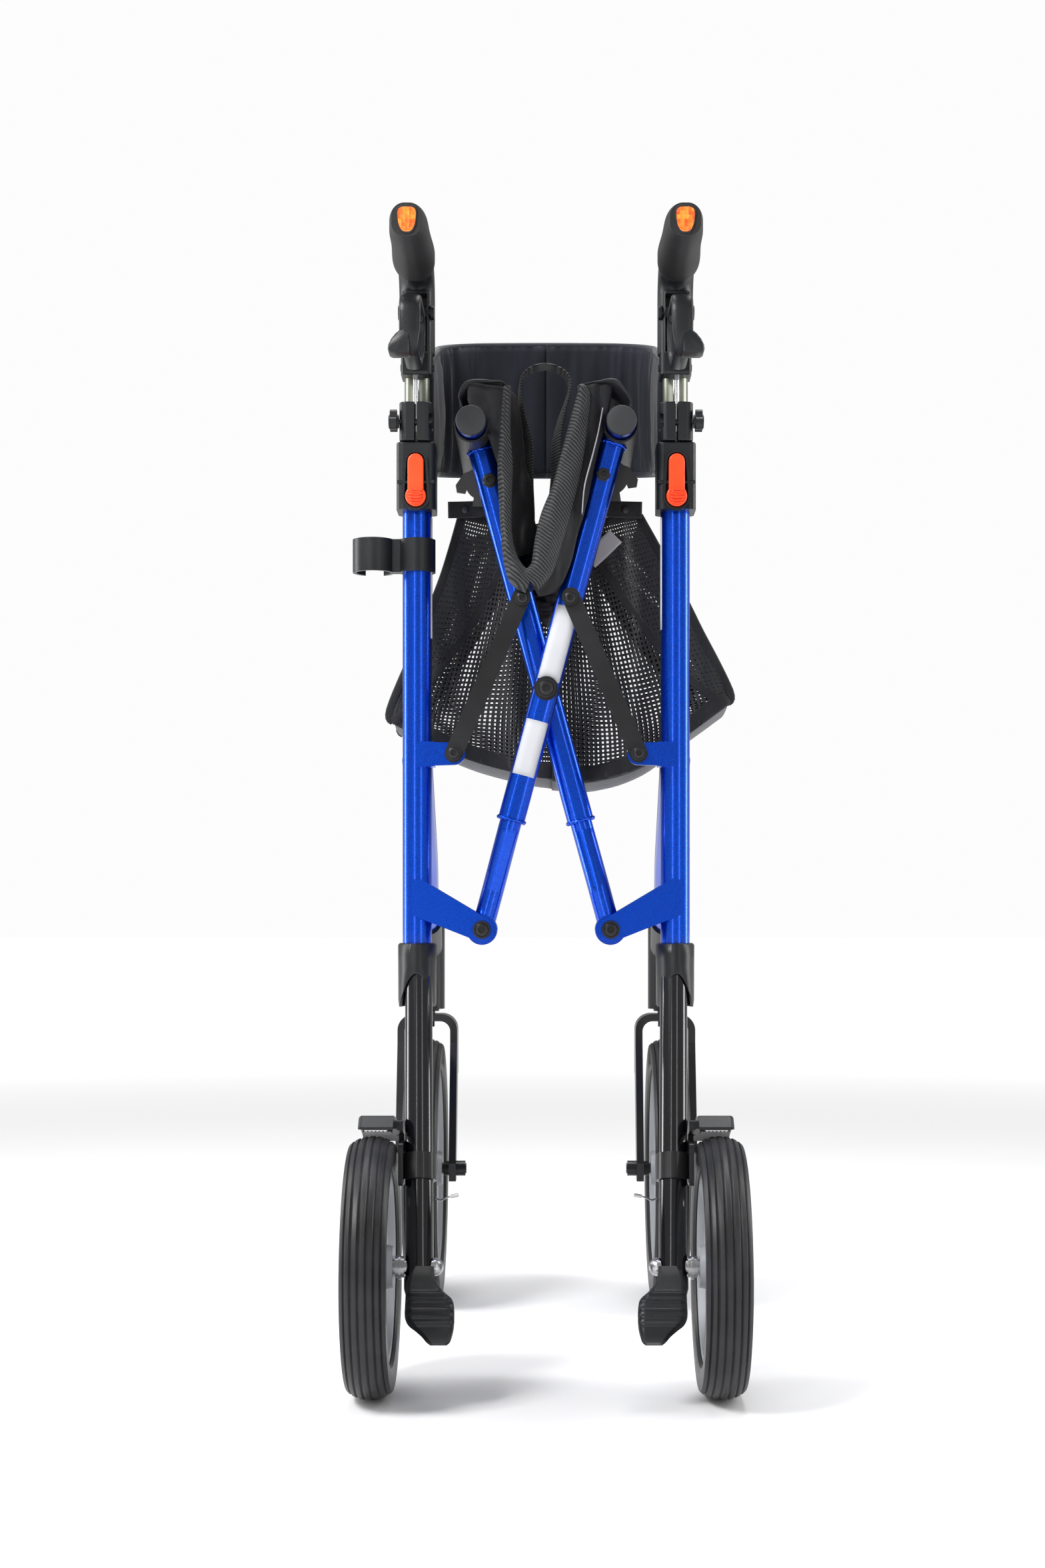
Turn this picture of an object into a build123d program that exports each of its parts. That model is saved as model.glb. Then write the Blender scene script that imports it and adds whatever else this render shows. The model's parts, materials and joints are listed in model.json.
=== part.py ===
from build123d import *
import os
from math import cos, radians, sin

# Folding four-wheeled walking frame (rollator), modelled folded flat.
# Millimetres. +X is the user's right, +Y is forward, +Z is up.
# The origin is on the floor, at the centre of the plan outline.
# Parts of a side are drawn for the right side (+X); the left side is their mirror image.

# ---------------------------------------------------------------- driving dimensions
WHEELBASE = 437.0            # rear axle to front axle
REAR_RADIUS = 101.5          # 8 inch rear wheels
FRONT_RADIUS = 127.0         # 10 inch front wheels
REAR_TYRE_WIDTH = 34.5
FRONT_TYRE_WIDTH = 33.0
WHEEL_X = 136.0              # rear wheel's mid-plane
CASTER_X = 118.0             # swivel axis and front wheel's mid-plane
CASTER_TRAIL = 38.0          # front axle behind the swivel axis

REAR_Y = -(WHEELBASE + FRONT_RADIUS - REAR_RADIUS) / 2
FRONT_Y = REAR_Y + WHEELBASE
SWIVEL_Y = FRONT_Y + CASTER_TRAIL

TUBE_X = 106.0               # upright tubes
TUBE_Y = REAR_Y + 90.0
TUBE_RADIUS = 12.0
TUBE_BORE = 10.5
TUBE_FOOT = 349.0            # bottom end of the upright, inside the leg collar
TUBE_TOP = 716.0
RUNNING = 0.06               # radial clearance of a shaft in its bore
GAP = 0.5                    # side clearance between bodies that move

FOLD_ANGLE = 15.0            # cross tubes from vertical, folded
FOLD_PIVOT_Z = 364.0         # lower pivots of the cross frames
ARM = 203.0                  # lower pivot to centre pivot
LINK_ARM = 77.0              # centre pivot to link pivot, along a cross tube
CENTRE_Z = FOLD_PIVOT_Z + ARM * cos(radians(FOLD_ANGLE))
FOLD_PIVOT_X = ARM * sin(radians(FOLD_ANGLE))
LINK_FOOT_OUT = 22.4         # link's foot pivot, outboard of the lower pivot
LINK_FOOT_UP = 143.0         # and above it
RAIL_X = 60.5                # seat rails
RAIL_Z = 772.6
RAIL_RADIUS = 12.0
RAIL_BACK = REAR_Y + 47.0
RAIL_FRONT = REAR_Y + 258.0

REAR_PLANE_Y = TUBE_Y - 10.0     # mid-plane of the rear cross tube
FRONT_PLANE_Y = TUBE_Y + 14.0    # mid-plane of the front cross tube
CROSS_DEPTH = 20.0               # cross tube, fore and aft
CROSS_WIDTH = 22.0               # cross tube, across
LINK_BACK_Y = REAR_PLANE_Y - CROSS_DEPTH / 2 - 4.5
LINK_THICKNESS = 3.5

LEG_RADIUS = 11.1
LEG_TOP = (104.3, REAR_Y + 80.4, 345.5)
LEG_AXLE = (99.0, REAR_Y, REAR_RADIUS)

HANDLE_RADIUS = 10.4
HANDLE_FOOT = 560.0
ROD_RADIUS = 2.6             # brake rod, behind the handle tube
ROD_Y = TUBE_Y - 13.6
LATCH_Z = (706.0, 761.0)
COLLAR_Z = (761.4, 793.0)
BODY_Z = 817.0               # bottom of the handle housing
LEVER_PIVOT = (TUBE_Y - 14.0, 867.0)
LATCH_PIVOT = (TUBE_Y - 20.0, 728.0)
SHOE_PIVOT = (REAR_Y + 48.0, 190.0)
GRIP_Z = 904.0
SIDE_REACH = 159.0           # widest point on each side of the folded frame

# ---------------------------------------------------------------- small helpers


def cyl_x(x0, x1, y, z, radius):
    """Round bar along X between x0 and x1."""
    return Pos((x0 + x1) / 2, y, z) * Rot(0, 90, 0) * Cylinder(radius, abs(x1 - x0))


def cyl_y(y0, y1, x, z, radius):
    """Round bar along Y between y0 and y1."""
    return Pos(x, (y0 + y1) / 2, z) * Rot(90, 0, 0) * Cylinder(radius, abs(y1 - y0))


def cyl_z(z0, z1, x, y, radius):
    """Round bar along Z between z0 and z1."""
    return Pos(x, y, (z0 + z1) / 2) * Cylinder(radius, abs(z1 - z0))


def block(x0, x1, y0, y1, z0, z1):
    """Box from its low and high sides."""
    centre = Pos((x0 + x1) / 2, (y0 + y1) / 2, (z0 + z1) / 2)
    return centre * Box(abs(x1 - x0), abs(y1 - y0), abs(z1 - z0))


def bar(start, end, radius):
    """Round bar between two points."""
    run = Vector(*end) - Vector(*start)
    return extrude(Plane(origin=start, z_dir=run) * Circle(radius), run.length)


def bent_bar(points, bend, radius):
    """Round bar along straight runs joined by arcs."""
    path = FilletPolyline(*points, radius=bend)
    return sweep(Plane(origin=path @ 0, z_dir=path % 0) * Circle(radius), path=path)


def side_profile(points, x0, x1):
    """Prism along X from an outline of (y, z) points."""
    outline = Plane.YZ.offset(x0) * make_face(Polyline(*points, close=True))
    return extrude(outline, x1 - x0)


def front_profile(face, y0, y1):
    """Prism along Y from a face drawn in (x, z)."""
    plane = Plane(origin=(0, y0, 0), x_dir=(1, 0, 0), z_dir=(0, -1, 0))
    return extrude(plane * face, -(y1 - y0))


def wheel_ring(outline, x, y, z):
    """Ring turned about an axle along X; the outline is (offset along X, radius)."""
    face = make_face(Polyline(*outline, close=True))
    ring = revolve(face, Axis.X)
    return Pos(x, y, z) * ring


def along_leg(z):
    """Point of the rear leg's centre line at a height."""
    share = (z - LEG_AXLE[2]) / (LEG_TOP[2] - LEG_AXLE[2])
    return tuple(a + share * (b - a) for a, b in zip(LEG_AXLE, LEG_TOP))


# ---------------------------------------------------------------- side frame


def upright_tube():
    """Main upright with its welded brackets for the cross frame and the link."""
    tube = cyl_z(TUBE_FOOT, TUBE_TOP, TUBE_X, TUBE_Y, TUBE_RADIUS)
    plate_gap, plate = 10.3, 3.5
    ear_radius = 10.0
    pivot_z = FOLD_PIVOT_Z
    outline = make_hull(
        Edge.make_circle(ear_radius, Plane((FOLD_PIVOT_X, pivot_z))).edges()
        + Polyline(
            (TUBE_X + 4, 376), (TUBE_X + 4, 405), (TUBE_X - 4, 405), (TUBE_X - 4, 376), close=True
        ).edges()
    )
    plates = [
        front_profile(outline, TUBE_Y - plate_gap - plate, TUBE_Y - plate_gap),
        front_profile(outline, TUBE_Y + plate_gap, TUBE_Y + plate_gap + plate),
    ]
    foot_x = FOLD_PIVOT_X + LINK_FOOT_OUT
    foot_z = pivot_z + LINK_FOOT_UP
    ear_y = LINK_BACK_Y + LINK_THICKNESS + 1.0
    ear = make_hull(
        Edge.make_circle(9.0, Plane((foot_x, foot_z))).edges()
        + Polyline(
            (TUBE_X, foot_z - 10), (TUBE_X, foot_z + 10), (TUBE_X - 2, foot_z + 10), close=True
        ).edges()
    )
    link_ear = front_profile(ear, ear_y, ear_y + 3.5)
    web = block(TUBE_X - 15, TUBE_X, ear_y, TUBE_Y, foot_z - 10, foot_z + 10)
    pivot_hole = cyl_y(TUBE_Y - 40, TUBE_Y + 40, FOLD_PIVOT_X, pivot_z, 4.0)
    brackets = [plate_solid - tube - pivot_hole for plate_solid in plates]
    brackets.append(link_ear + web - tube - cyl_y(TUBE_Y - 40, TUBE_Y, foot_x, foot_z, 3.0))
    tube -= cyl_z(TUBE_FOOT - 1, TUBE_TOP + 1, TUBE_X, TUBE_Y, TUBE_BORE)
    bolt = cyl_y(TUBE_Y - 17.5, TUBE_Y + 16, FOLD_PIVOT_X, pivot_z, 4.0)
    head = cyl_y(TUBE_Y - 18.5, TUBE_Y - 13.8, FOLD_PIVOT_X, pivot_z, 6.6)
    nut = cyl_y(TUBE_Y + 13.8, TUBE_Y + 19, FOLD_PIVOT_X, pivot_z, 6.0)
    stud = cyl_y(LINK_BACK_Y - 2.6, ear_y + 3.5, foot_x, foot_z, 3.0)
    stud_head = cyl_y(LINK_BACK_Y - 3.0, LINK_BACK_Y - GAP, foot_x, foot_z, 5.6)
    pieces = [tube, *brackets, bolt + head + nut, stud + stud_head]
    return Compound([piece.solid() for piece in pieces])


FRONT_TUBE_PATH = [
    (TUBE_X + 0.6, TUBE_Y + TUBE_RADIUS - 1.0, 504.0),
    (TUBE_X + 6.0, REAR_Y + 300.0, 426.0),
    (CASTER_X, REAR_Y + 452.0, 350.5),
]


def front_tube():
    """Tube that runs from the upright forward and down to the caster housing."""
    outer = bent_bar(FRONT_TUBE_PATH, 500.0, 12.5)
    inner = bent_bar(FRONT_TUBE_PATH, 500.0, 11.0)
    return (outer - inner - cyl_z(400, 600, TUBE_X, TUBE_Y, TUBE_RADIUS)).solid()


def caster_housing():
    """Plastic head that holds the caster's bearing and the front tube's end."""
    z0, z1, radius = 282.0, 365.0, 16.5
    head = cyl_z(z0, z1, CASTER_X, SWIVEL_Y, radius)
    head = fillet(head.edges().group_by(Axis.Z)[-1], 3.0)
    before, end = Vector(*FRONT_TUBE_PATH[1]), Vector(*FRONT_TUBE_PATH[2])
    run = (end - before).normalized()
    mouth = end - run * 42.0
    deep = end + run * 14.0
    socket = bar(tuple(mouth), tuple(deep), 15.0)
    head += socket
    head -= bar(tuple(mouth - run * 2), tuple(end), 12.55)
    head -= cyl_z(z0 - 1, z1 - 16, CASTER_X, SWIVEL_Y, 7.0 + RUNNING)
    washer = cyl_z(z0 - 2.4, z0 - 0.2, CASTER_X, SWIVEL_Y, 11.0) - cyl_z(
        z0 - 3, z0, CASTER_X, SWIVEL_Y, 7.3
    )
    return Compound([head.solid(), washer.solid()])


def leg_collar():
    """Plastic elbow that joins the upright to the rear leg."""
    z0, z1, radius = 302.0, 352.0, 15.3
    sleeve = cyl_z(z0, z1, TUBE_X - 0.6, TUBE_Y - 2.0, radius)
    sleeve = fillet(sleeve.edges().group_by(Axis.Z)[-1], 1.5)
    low, high = along_leg(280.0), along_leg(333.0)
    sleeve -= bar(low, high, LEG_RADIUS + 2.2)
    sleeve -= bar(low, LEG_TOP, LEG_RADIUS)
    sleeve -= cyl_z(LEG_TOP[2] + 1.0, z1 + 1, TUBE_X, TUBE_Y, TUBE_RADIUS)
    sleeve -= cyl_z(TUBE_FOOT - 0.2, z1 + 1, TUBE_X, TUBE_Y, TUBE_RADIUS + 0.02)
    return sleeve.solids().sort_by(SortBy.VOLUME)[-1]


def rear_leg():
    """Tube from the collar down and back to the rear axle."""
    low = along_leg(REAR_RADIUS - 14.0)
    outer = bar(low, LEG_TOP, LEG_RADIUS)
    inner = bar(along_leg(REAR_RADIUS - 15.0), along_leg(347.0), LEG_RADIUS - 1.6)
    tube = outer - inner
    tube -= cyl_x(80, 120, REAR_Y, REAR_RADIUS, 6.0)
    tube -= cyl_z(TUBE_FOOT - 0.5, TUBE_FOOT + 20, TUBE_X, TUBE_Y, 30)
    return tube.solid()


def rear_axle():
    """Axle bolt with its domed nut and the spacer between leg and wheel."""
    shaft = cyl_x(84, 149, REAR_Y, REAR_RADIUS, 6.0)
    dome = Pos(87.2, REAR_Y, REAR_RADIUS) * Sphere(7.2)
    dome &= block(78, 87.2, REAR_Y - 9, REAR_Y + 9, REAR_RADIUS - 9, REAR_RADIUS + 9)
    spacer = cyl_x(110.4, 118.0, REAR_Y, REAR_RADIUS, 8.5) - cyl_x(
        110, 119, REAR_Y, REAR_RADIUS, 6.0
    )
    ring = cyl_x(113.0, 115.0, REAR_Y, REAR_RADIUS, 10.0) - cyl_x(
        112, 116, REAR_Y, REAR_RADIUS, 8.5
    )
    return Compound([(shaft + dome).solid(), (spacer + ring).solid()])


def tip_pedal():
    """Foot pedal behind the leg, stepped on to lift the front wheels over a kerb."""
    back = REAR_Y
    neck = side_profile(
        [(back - 10, 104), (back - 22, 103), (back - 34, 94), (back - 34, 78), (back - 8, 84)],
        88.0, 110.0,
    )
    tread = side_profile(
        [(back - 24, 92), (back - 52, 67), (back - 54, 60), (back - 50, 49), (back - 42, 47),
         (back - 26, 70)],
        71.0, 110.0,
    )
    tread = fillet(tread.edges().filter_by(Axis.X, reverse=True).group_by(Axis.X)[0], 4.0)
    pedal = neck + tread
    slope = Vector(0, -28, -25).normalized()
    up = Vector(0, -25, 28).normalized()
    for step in range(4):
        middle = Vector(90.5, back - 28, 88.4) + slope * (3.0 + 7.5 * step)
        rib = Plane(origin=tuple(middle), x_dir=(1, 0, 0), z_dir=tuple(up)) * Box(33, 2.4, 2.4)
        pedal += rib
    cup = bar(along_leg(REAR_RADIUS - 18.0), along_leg(REAR_RADIUS - 14.4), LEG_RADIUS + 1.0)
    pedal += cup
    pedal -= bar(along_leg(REAR_RADIUS - 14.0), LEG_TOP, LEG_RADIUS + 0.05)
    pedal -= cyl_x(70, 120, REAR_Y, REAR_RADIUS, 10.5)
    return pedal.solids().sort_by(SortBy.VOLUME)[-1]


def brake_mount():
    """Band on the leg with the brake shoe's pivot pin and the cable stop plate."""
    y, z = SHOE_PIVOT
    band = bar(along_leg(166.0), along_leg(186.0), LEG_RADIUS + 2.6)
    ear = block(103.2, 107.0, REAR_Y + 34, y + 5, 168, z + 5)
    plate = block(112.4, 116.2, REAR_Y + 8, REAR_Y + 40, 163, 197)
    plate = fillet(plate.edges().filter_by(Axis.X), 4.0)
    mount = band + ear + plate
    pin = cyl_x(104, 118.0, y, z, 2.5)
    mount -= bar(along_leg(150.0), along_leg(210.0), LEG_RADIUS + 0.02)
    return (mount + pin).solid()


def latch_housing():
    """Housing on top of the upright, with the pocket for the height latch."""
    z0, z1 = LATCH_Z
    back = TUBE_Y - 20.5
    shell = block(TUBE_X - 16, TUBE_X + 16, back, TUBE_Y + 15.5, z0, z1)
    shell = fillet(shell.edges().filter_by(Axis.Z), 6.0)
    shell = fillet(shell.edges().group_by(Axis.Z)[-1], 1.5)
    low, high = LATCH_PIVOT[1] - 12.0, LATCH_PIVOT[1] + 16.0
    bezel = make_hull(
        Edge.make_circle(11.5, Plane((TUBE_X, low))).edges()
        + Edge.make_circle(9.5, Plane((TUBE_X, high))).edges()
    )
    pocket = make_hull(
        Edge.make_circle(9.3, Plane((TUBE_X, low))).edges()
        + Edge.make_circle(7.6, Plane((TUBE_X, high))).edges()
    )
    shell += front_profile(bezel, back - 2.2, back + 2)
    shell -= front_profile(pocket, back - 4, TUBE_Y - 12.4)
    shell -= cyl_z(z0 - 1, TUBE_TOP + 0.2, TUBE_X, TUBE_Y, TUBE_RADIUS)
    shell -= cyl_z(z0 - 1, z1 + 1, TUBE_X, TUBE_Y, TUBE_BORE)
    pin = cyl_x(TUBE_X - 15, TUBE_X + 15, LATCH_PIVOT[0], LATCH_PIVOT[1], 1.6)
    return (shell + pin).solid()


def latch_lever():
    """Rocker pressed at its round lower end to free the handle tube."""
    y, z = LATCH_PIVOT
    low, high = z - 12.0, z + 16.0
    shape = Pos(TUBE_X, (low + high) / 2) * Rectangle(13.0, high - low)
    shape += Pos(TUBE_X, high) * Circle(6.5) + Pos(TUBE_X, low) * Circle(8.4)
    lever = front_profile(shape, y - 4.6, y + 2.4)
    lever = fillet(lever.edges().group_by(Axis.Y)[0], 1.2)
    for step in range(4):
        lever += block(TUBE_X - 5.5, TUBE_X + 5.5, y - 5.4, y - 4, low - 4.6 + 3 * step,
                       low - 3.2 + 3 * step)
    return (lever - cyl_x(TUBE_X - 20, TUBE_X + 20, y, z, 1.6 + RUNNING)).solid()


def cane_holder():
    """Double clip: a closed sleeve on the upright and an open jaw for a walking stick."""
    z0, z1 = 657.0, 684.0
    jaw_x = SIDE_REACH - 17.0
    clip = cyl_z(z0, z1, TUBE_X, TUBE_Y, TUBE_RADIUS + 3.0)
    clip += cyl_z(z0, z1, jaw_x, TUBE_Y, 17.0)
    clip += block(TUBE_X, jaw_x, TUBE_Y - 6, TUBE_Y + 6, z0, z1)
    clip -= cyl_z(z0 - 1, z1 + 1, TUBE_X, TUBE_Y, TUBE_RADIUS + 0.02)
    clip -= cyl_z(z0 - 1, z1 + 1, jaw_x, TUBE_Y, 13.8)
    clip -= block(jaw_x - 7.5, jaw_x + 7.5, TUBE_Y, TUBE_Y + 30, z0 - 1, z1 + 1)
    return clip.solid()


# ---------------------------------------------------------------- cross frame


def cross_point(distance, offset=0.0):
    """(x, z) on the tube from the left lower pivot, and offset to its right."""
    lean = radians(FOLD_ANGLE)
    x = -FOLD_PIVOT_X + distance * sin(lean) + offset * cos(lean)
    z = FOLD_PIVOT_Z + distance * cos(lean) - offset * sin(lean)
    return x, z


def cross_frame(plane_y):
    """Welded cross tube from the left lower pivot to the right seat rail."""
    joint = 92.0
    top = ARM + 216.0
    x0, z0 = cross_point(joint)
    axis = Vector(sin(radians(FOLD_ANGLE)), 0, cos(radians(FOLD_ANGLE)))
    plane = Plane(origin=(x0, plane_y, z0), x_dir=(0, 1, 0), z_dir=tuple(axis))
    oval = plane * RectangleRounded(CROSS_DEPTH, CROSS_WIDTH, 8.5)
    tube = extrude(oval, top - joint)
    foot = cross_point(0.0)
    knee = cross_point(34.0)
    neck = cross_point(joint - 8.0)
    route = [
        (foot[0], TUBE_Y, foot[1]),
        (knee[0], TUBE_Y, knee[1]),
        (neck[0], plane_y, neck[1]),
        (x0 + 2.0 * axis.X, plane_y, z0 + 2.0 * axis.Z),
    ]
    lower = bent_bar(route, 9.0, 9.0)
    lug = cyl_y(TUBE_Y - 10, TUBE_Y + 10, foot[0], foot[1], 12.5)
    rail = cyl_y(RAIL_BACK, RAIL_FRONT, RAIL_X, RAIL_Z, RAIL_RADIUS)
    frame = tube + lower + lug + rail
    frame -= extrude(plane.offset(4.0) * RectangleRounded(
        CROSS_DEPTH - 3.6, CROSS_WIDTH - 3.6, 6.7), top - joint - 6.0)
    frame -= cyl_y(RAIL_BACK - 1, RAIL_FRONT + 1, RAIL_X, RAIL_Z, RAIL_RADIUS - 1.6)
    frame -= cyl_y(TUBE_Y - 20, TUBE_Y + 20, foot[0], foot[1], 4.0 + RUNNING)
    frame -= cyl_y(plane_y - 20, plane_y + 20, 0, CENTRE_Z, 4.0 + RUNNING)
    link_x, link_z = cross_point(ARM + LINK_ARM)
    frame -= cyl_y(plane_y - 20, plane_y + 20, link_x, link_z, 3.0)
    return frame.solid()


def hook_plate(plane_y):
    """Flat steel hook bolted to the front of a cross tube, under the seat rail."""
    back = plane_y + CROSS_DEPTH / 2
    head = (53.5, 736.0)
    shape = Pos(*head) * Circle(14.0)
    shape += make_face(Polyline(
        (head[0], head[1] + 13.5), (head[0] + 15, head[1] + 8), (head[0] + 22, head[1] - 2),
        (head[0] + 21, head[1] - 8), (head[0] + 14, head[1] - 9), (head[0] + 11, head[1] - 1),
        (head[0] + 6, head[1] - 6), (head[0] + 8, head[1] - 20), (head[0] - 12, head[1] - 20),
        (head[0] - 12, head[1]), close=True))
    shape -= Pos(*head) * Rectangle(7.0, 7.0)
    return front_profile(shape, back, back + 3.0).solid()


def seat_half():
    """Right half of the folded sling seat, hanging between the rails."""
    foot, top = (10.5, CENTRE_Z + 87.0), (41.0, CENTRE_Z + 199.0)
    shape = make_face(Polyline(
        foot, top, (top[0] - 4.2, top[1]), (foot[0] - 4.2, foot[1]), close=True))
    return front_profile(shape, REAR_Y + 58.0, REAR_Y + 254.0).solid()


def cross_pivot_bolt():
    """Centre bolt of the cross frame with its washers and spacer."""
    back = REAR_PLANE_Y - CROSS_DEPTH / 2
    front = FRONT_PLANE_Y + CROSS_DEPTH / 2
    middle = REAR_PLANE_Y + CROSS_DEPTH / 2
    bolt = cyl_y(back - 5, front + 5, 0, CENTRE_Z, 4.0)
    bolt += cyl_y(back - 2.2, back - 0.3, 0, CENTRE_Z, 9.8)
    bolt += cyl_y(back - 5.6, back - 2.2, 0, CENTRE_Z, 6.4)
    bolt += cyl_y(middle + 0.4, FRONT_PLANE_Y - CROSS_DEPTH / 2 - 0.4, 0, CENTRE_Z, 9.0)
    bolt += cyl_y(front + 0.4, front + 6.5, 0, CENTRE_Z, 6.5)
    return bolt.solid()


def link_bar():
    """Flat steel link from the right upright to the rear cross tube."""
    foot = (FOLD_PIVOT_X + LINK_FOOT_OUT, FOLD_PIVOT_Z + LINK_FOOT_UP)
    head = cross_point(ARM + LINK_ARM)
    shape = make_hull(
        Edge.make_circle(7.3, Plane(foot)).edges() + Edge.make_circle(7.3, Plane(head)).edges()
    )
    strip = front_profile(shape, LINK_BACK_Y, LINK_BACK_Y + LINK_THICKNESS)
    strip -= cyl_y(LINK_BACK_Y - 5, LINK_BACK_Y + 9, foot[0], foot[1], 3.0 + RUNNING)
    strip += cyl_y(LINK_BACK_Y - 2.4, LINK_BACK_Y + 1, head[0], head[1], 5.2)
    return strip.solid()


# ---------------------------------------------------------------- soft parts


def shopping_bag():
    """Net bag under the seat, folded flat between the side frames: walls 3 thick, open on top."""
    y0, y1 = REAR_Y + 122.0, REAR_Y + 258.0
    left, right = -138.0, SIDE_REACH
    top = CENTRE_Z + 62.0
    outline = [(-40, top), (left, CENTRE_Z - 22), (left + 4, CENTRE_Z - 30), (-66, 508), (20, 489),
               (80, 499), (right - 4, CENTRE_Z - 16), (right, CENTRE_Z - 8), (40, top)]
    outer = make_face(Polyline(*outline, close=True))
    inner = offset(outer, -3.0)
    inner += Pos(0, top) * Rectangle(68, 12)
    return (front_profile(outer, y0, y1) - front_profile(inner, y0 + 3, y1 - 3)).solid()


def pull_strap():
    """Webbing loop pulled up to fold the frame."""
    y0, y1 = TUBE_Y - 8.0, TUBE_Y + 17.0
    low, high, centre = 693.0, 829.0, -5.0
    outer = make_hull(
        Edge.make_circle(21.0, Plane((centre, high - 21))).edges()
        + Polyline((-12, low), (12, low), (0, low + 1), close=True).edges()
    )
    inner = offset(outer, -2.4)
    return (front_profile(outer, y0, y1) - front_profile(inner, y0 - 1, y1 + 1)).solid()


def backrest_half():
    """Right half of the padded back strap, bent round as it is when folded."""
    y0, y1 = REAR_Y + 112.0, REAR_Y + 290.0
    z0, z1 = 788.0, 878.0
    x1, thickness, bend = 99.0, 7.0, 45.0
    outer = block(0.3, x1, y0, y1, z0, z1)
    corner = outer.edges().filter_by(Axis.Z).group_by(Axis.Y)[-1].sort_by(Axis.X)[-1]
    outer = fillet(corner, bend)
    inner = block(-1, x1 - thickness, y0 - 1, y1 - thickness, z0 - 1, z1 + 1)
    corner = inner.edges().filter_by(Axis.Z).group_by(Axis.Y)[-1].sort_by(Axis.X)[-1]
    inner = fillet(corner, bend - thickness)
    return (outer - inner).solid()


# ---------------------------------------------------------------- handle


def handle_tube():
    """Height-adjusting tube inside the upright."""
    tube = cyl_z(HANDLE_FOOT, 842.0, TUBE_X, TUBE_Y, HANDLE_RADIUS)
    return (tube - cyl_z(HANDLE_FOOT - 1, 843.0, TUBE_X, TUBE_Y, HANDLE_RADIUS - 1.5)).solid()


def handle_body():
    """Plastic housing that carries the brake lever and turns back into the grip's core."""
    y = TUBE_Y
    neck_path = [(TUBE_X, y, 836.0), (TUBE_X, y, GRIP_Z), (TUBE_X, REAR_Y + 44, GRIP_Z)]
    neck = bent_bar(neck_path, 26.0, 14.6)
    shell = block(TUBE_X - 12.6, TUBE_X + 12.6, y - 17.5, y + 14.6, BODY_Z, 884.0)
    shell = fillet(shell.edges().filter_by(Axis.Z), 5.0)
    nose = block(TUBE_X - 10.2, TUBE_X + 10.2, y - 27.0, y - 10, BODY_Z - 3.0, 833.0)
    nose = fillet(nose.edges().filter_by(Axis.X), 3.0)
    core = cyl_y(REAR_Y - 38.0, REAR_Y + 50, TUBE_X, GRIP_Z, 8.9)
    body = neck + shell + nose + core
    body -= block(TUBE_X - 9.0, TUBE_X + 9.0, y - 60, y - 3.0, 833.0, 882.0)
    body -= cyl_z(BODY_Z - 9, 842.0, TUBE_X, y, HANDLE_RADIUS)
    body -= cyl_z(BODY_Z - 9, 834.0, TUBE_X, ROD_Y, ROD_RADIUS + 2 * RUNNING)
    pin = cyl_x(TUBE_X - 12.6, TUBE_X + 12.6, LEVER_PIVOT[0], LEVER_PIVOT[1], 3.0)
    body += pin
    for side in (-1, 1):
        reach = TUBE_X + side * 14.6
        body += cyl_x(TUBE_X + side * 12.0, reach, LEVER_PIVOT[0], LEVER_PIVOT[1], 5.8)
        for height in (848.0, 826.0):
            body += cyl_x(TUBE_X + side * 12.0, TUBE_X + side * 13.8, y + 2.0, height, 3.0)
    return body.solid()


def grip():
    """Soft hand grip, widest at its front end, with a flat rear face."""
    stations = [(REAR_Y + 61.0, 29.0, 30.0, GRIP_Z - 0.5), (REAR_Y + 50.0, 33.0, 33.0, GRIP_Z - 1),
                (REAR_Y + 5.0, 30.5, 31.5, GRIP_Z + 1), (REAR_Y - 40.0, 26.0, 28.0, GRIP_Z + 1),
                (REAR_Y - 45.0, 23.5, 25.5, GRIP_Z + 1)]
    shapes = [Plane(origin=(TUBE_X, y, z), x_dir=(1, 0, 0), z_dir=(0, -1, 0))
              * RectangleRounded(w, h, 0.42 * w) for y, w, h, z in stations]
    shape = loft(Sketch() + shapes)
    return (shape - cyl_y(REAR_Y - 38.2, REAR_Y + 70, TUBE_X, GRIP_Z, 9.0)
            - bent_bar([(TUBE_X, TUBE_Y, 836.0), (TUBE_X, TUBE_Y, GRIP_Z),
                        (TUBE_X, REAR_Y + 43.8, GRIP_Z)], 26.0, 14.65)).solid()


def brake_lever():
    """Loop-shaped brake lever that hangs under the grip."""
    y, z = LEVER_PIVOT
    half = 8.5
    loop = Pos(REAR_Y + 24.0, 837.5) * RectangleRounded(74, 49, 17)
    loop -= Pos(REAR_Y + 24.5, 837.5) * RectangleRounded(60, 35, 11)
    loop += Pos(y, z) * Circle(8.0)
    loop += make_face(Polyline((REAR_Y + 44, 861.5), (y - 3, z + 7.4), (y + 1, z - 8),
                               (REAR_Y + 58, 850), close=True))
    lever = extrude(Plane.YZ.offset(TUBE_X - half) * loop, 2 * half)
    wing = side_profile([(REAR_Y - 13, 830), (REAR_Y - 2, 833), (REAR_Y + 10, 822),
                         (REAR_Y + 10, 813.6), (REAR_Y - 8, 813.6)], TUBE_X, TUBE_X + 17.0)
    lever += wing
    lever -= side_profile([(REAR_Y - 6, 820.5), (REAR_Y - 2, 826), (REAR_Y + 40, 826),
                           (REAR_Y + 40, 820.5)], TUBE_X - 12, TUBE_X + 8.5)
    return (lever - cyl_x(TUBE_X - 20, TUBE_X + 20, y, z, 3.0 + RUNNING)).solid()


def pull_rod():
    """Chromed brake rod, from the lever down through the stop collar."""
    return cyl_z(770.0, 831.0, TUBE_X, ROD_Y, ROD_RADIUS).solid()


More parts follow.
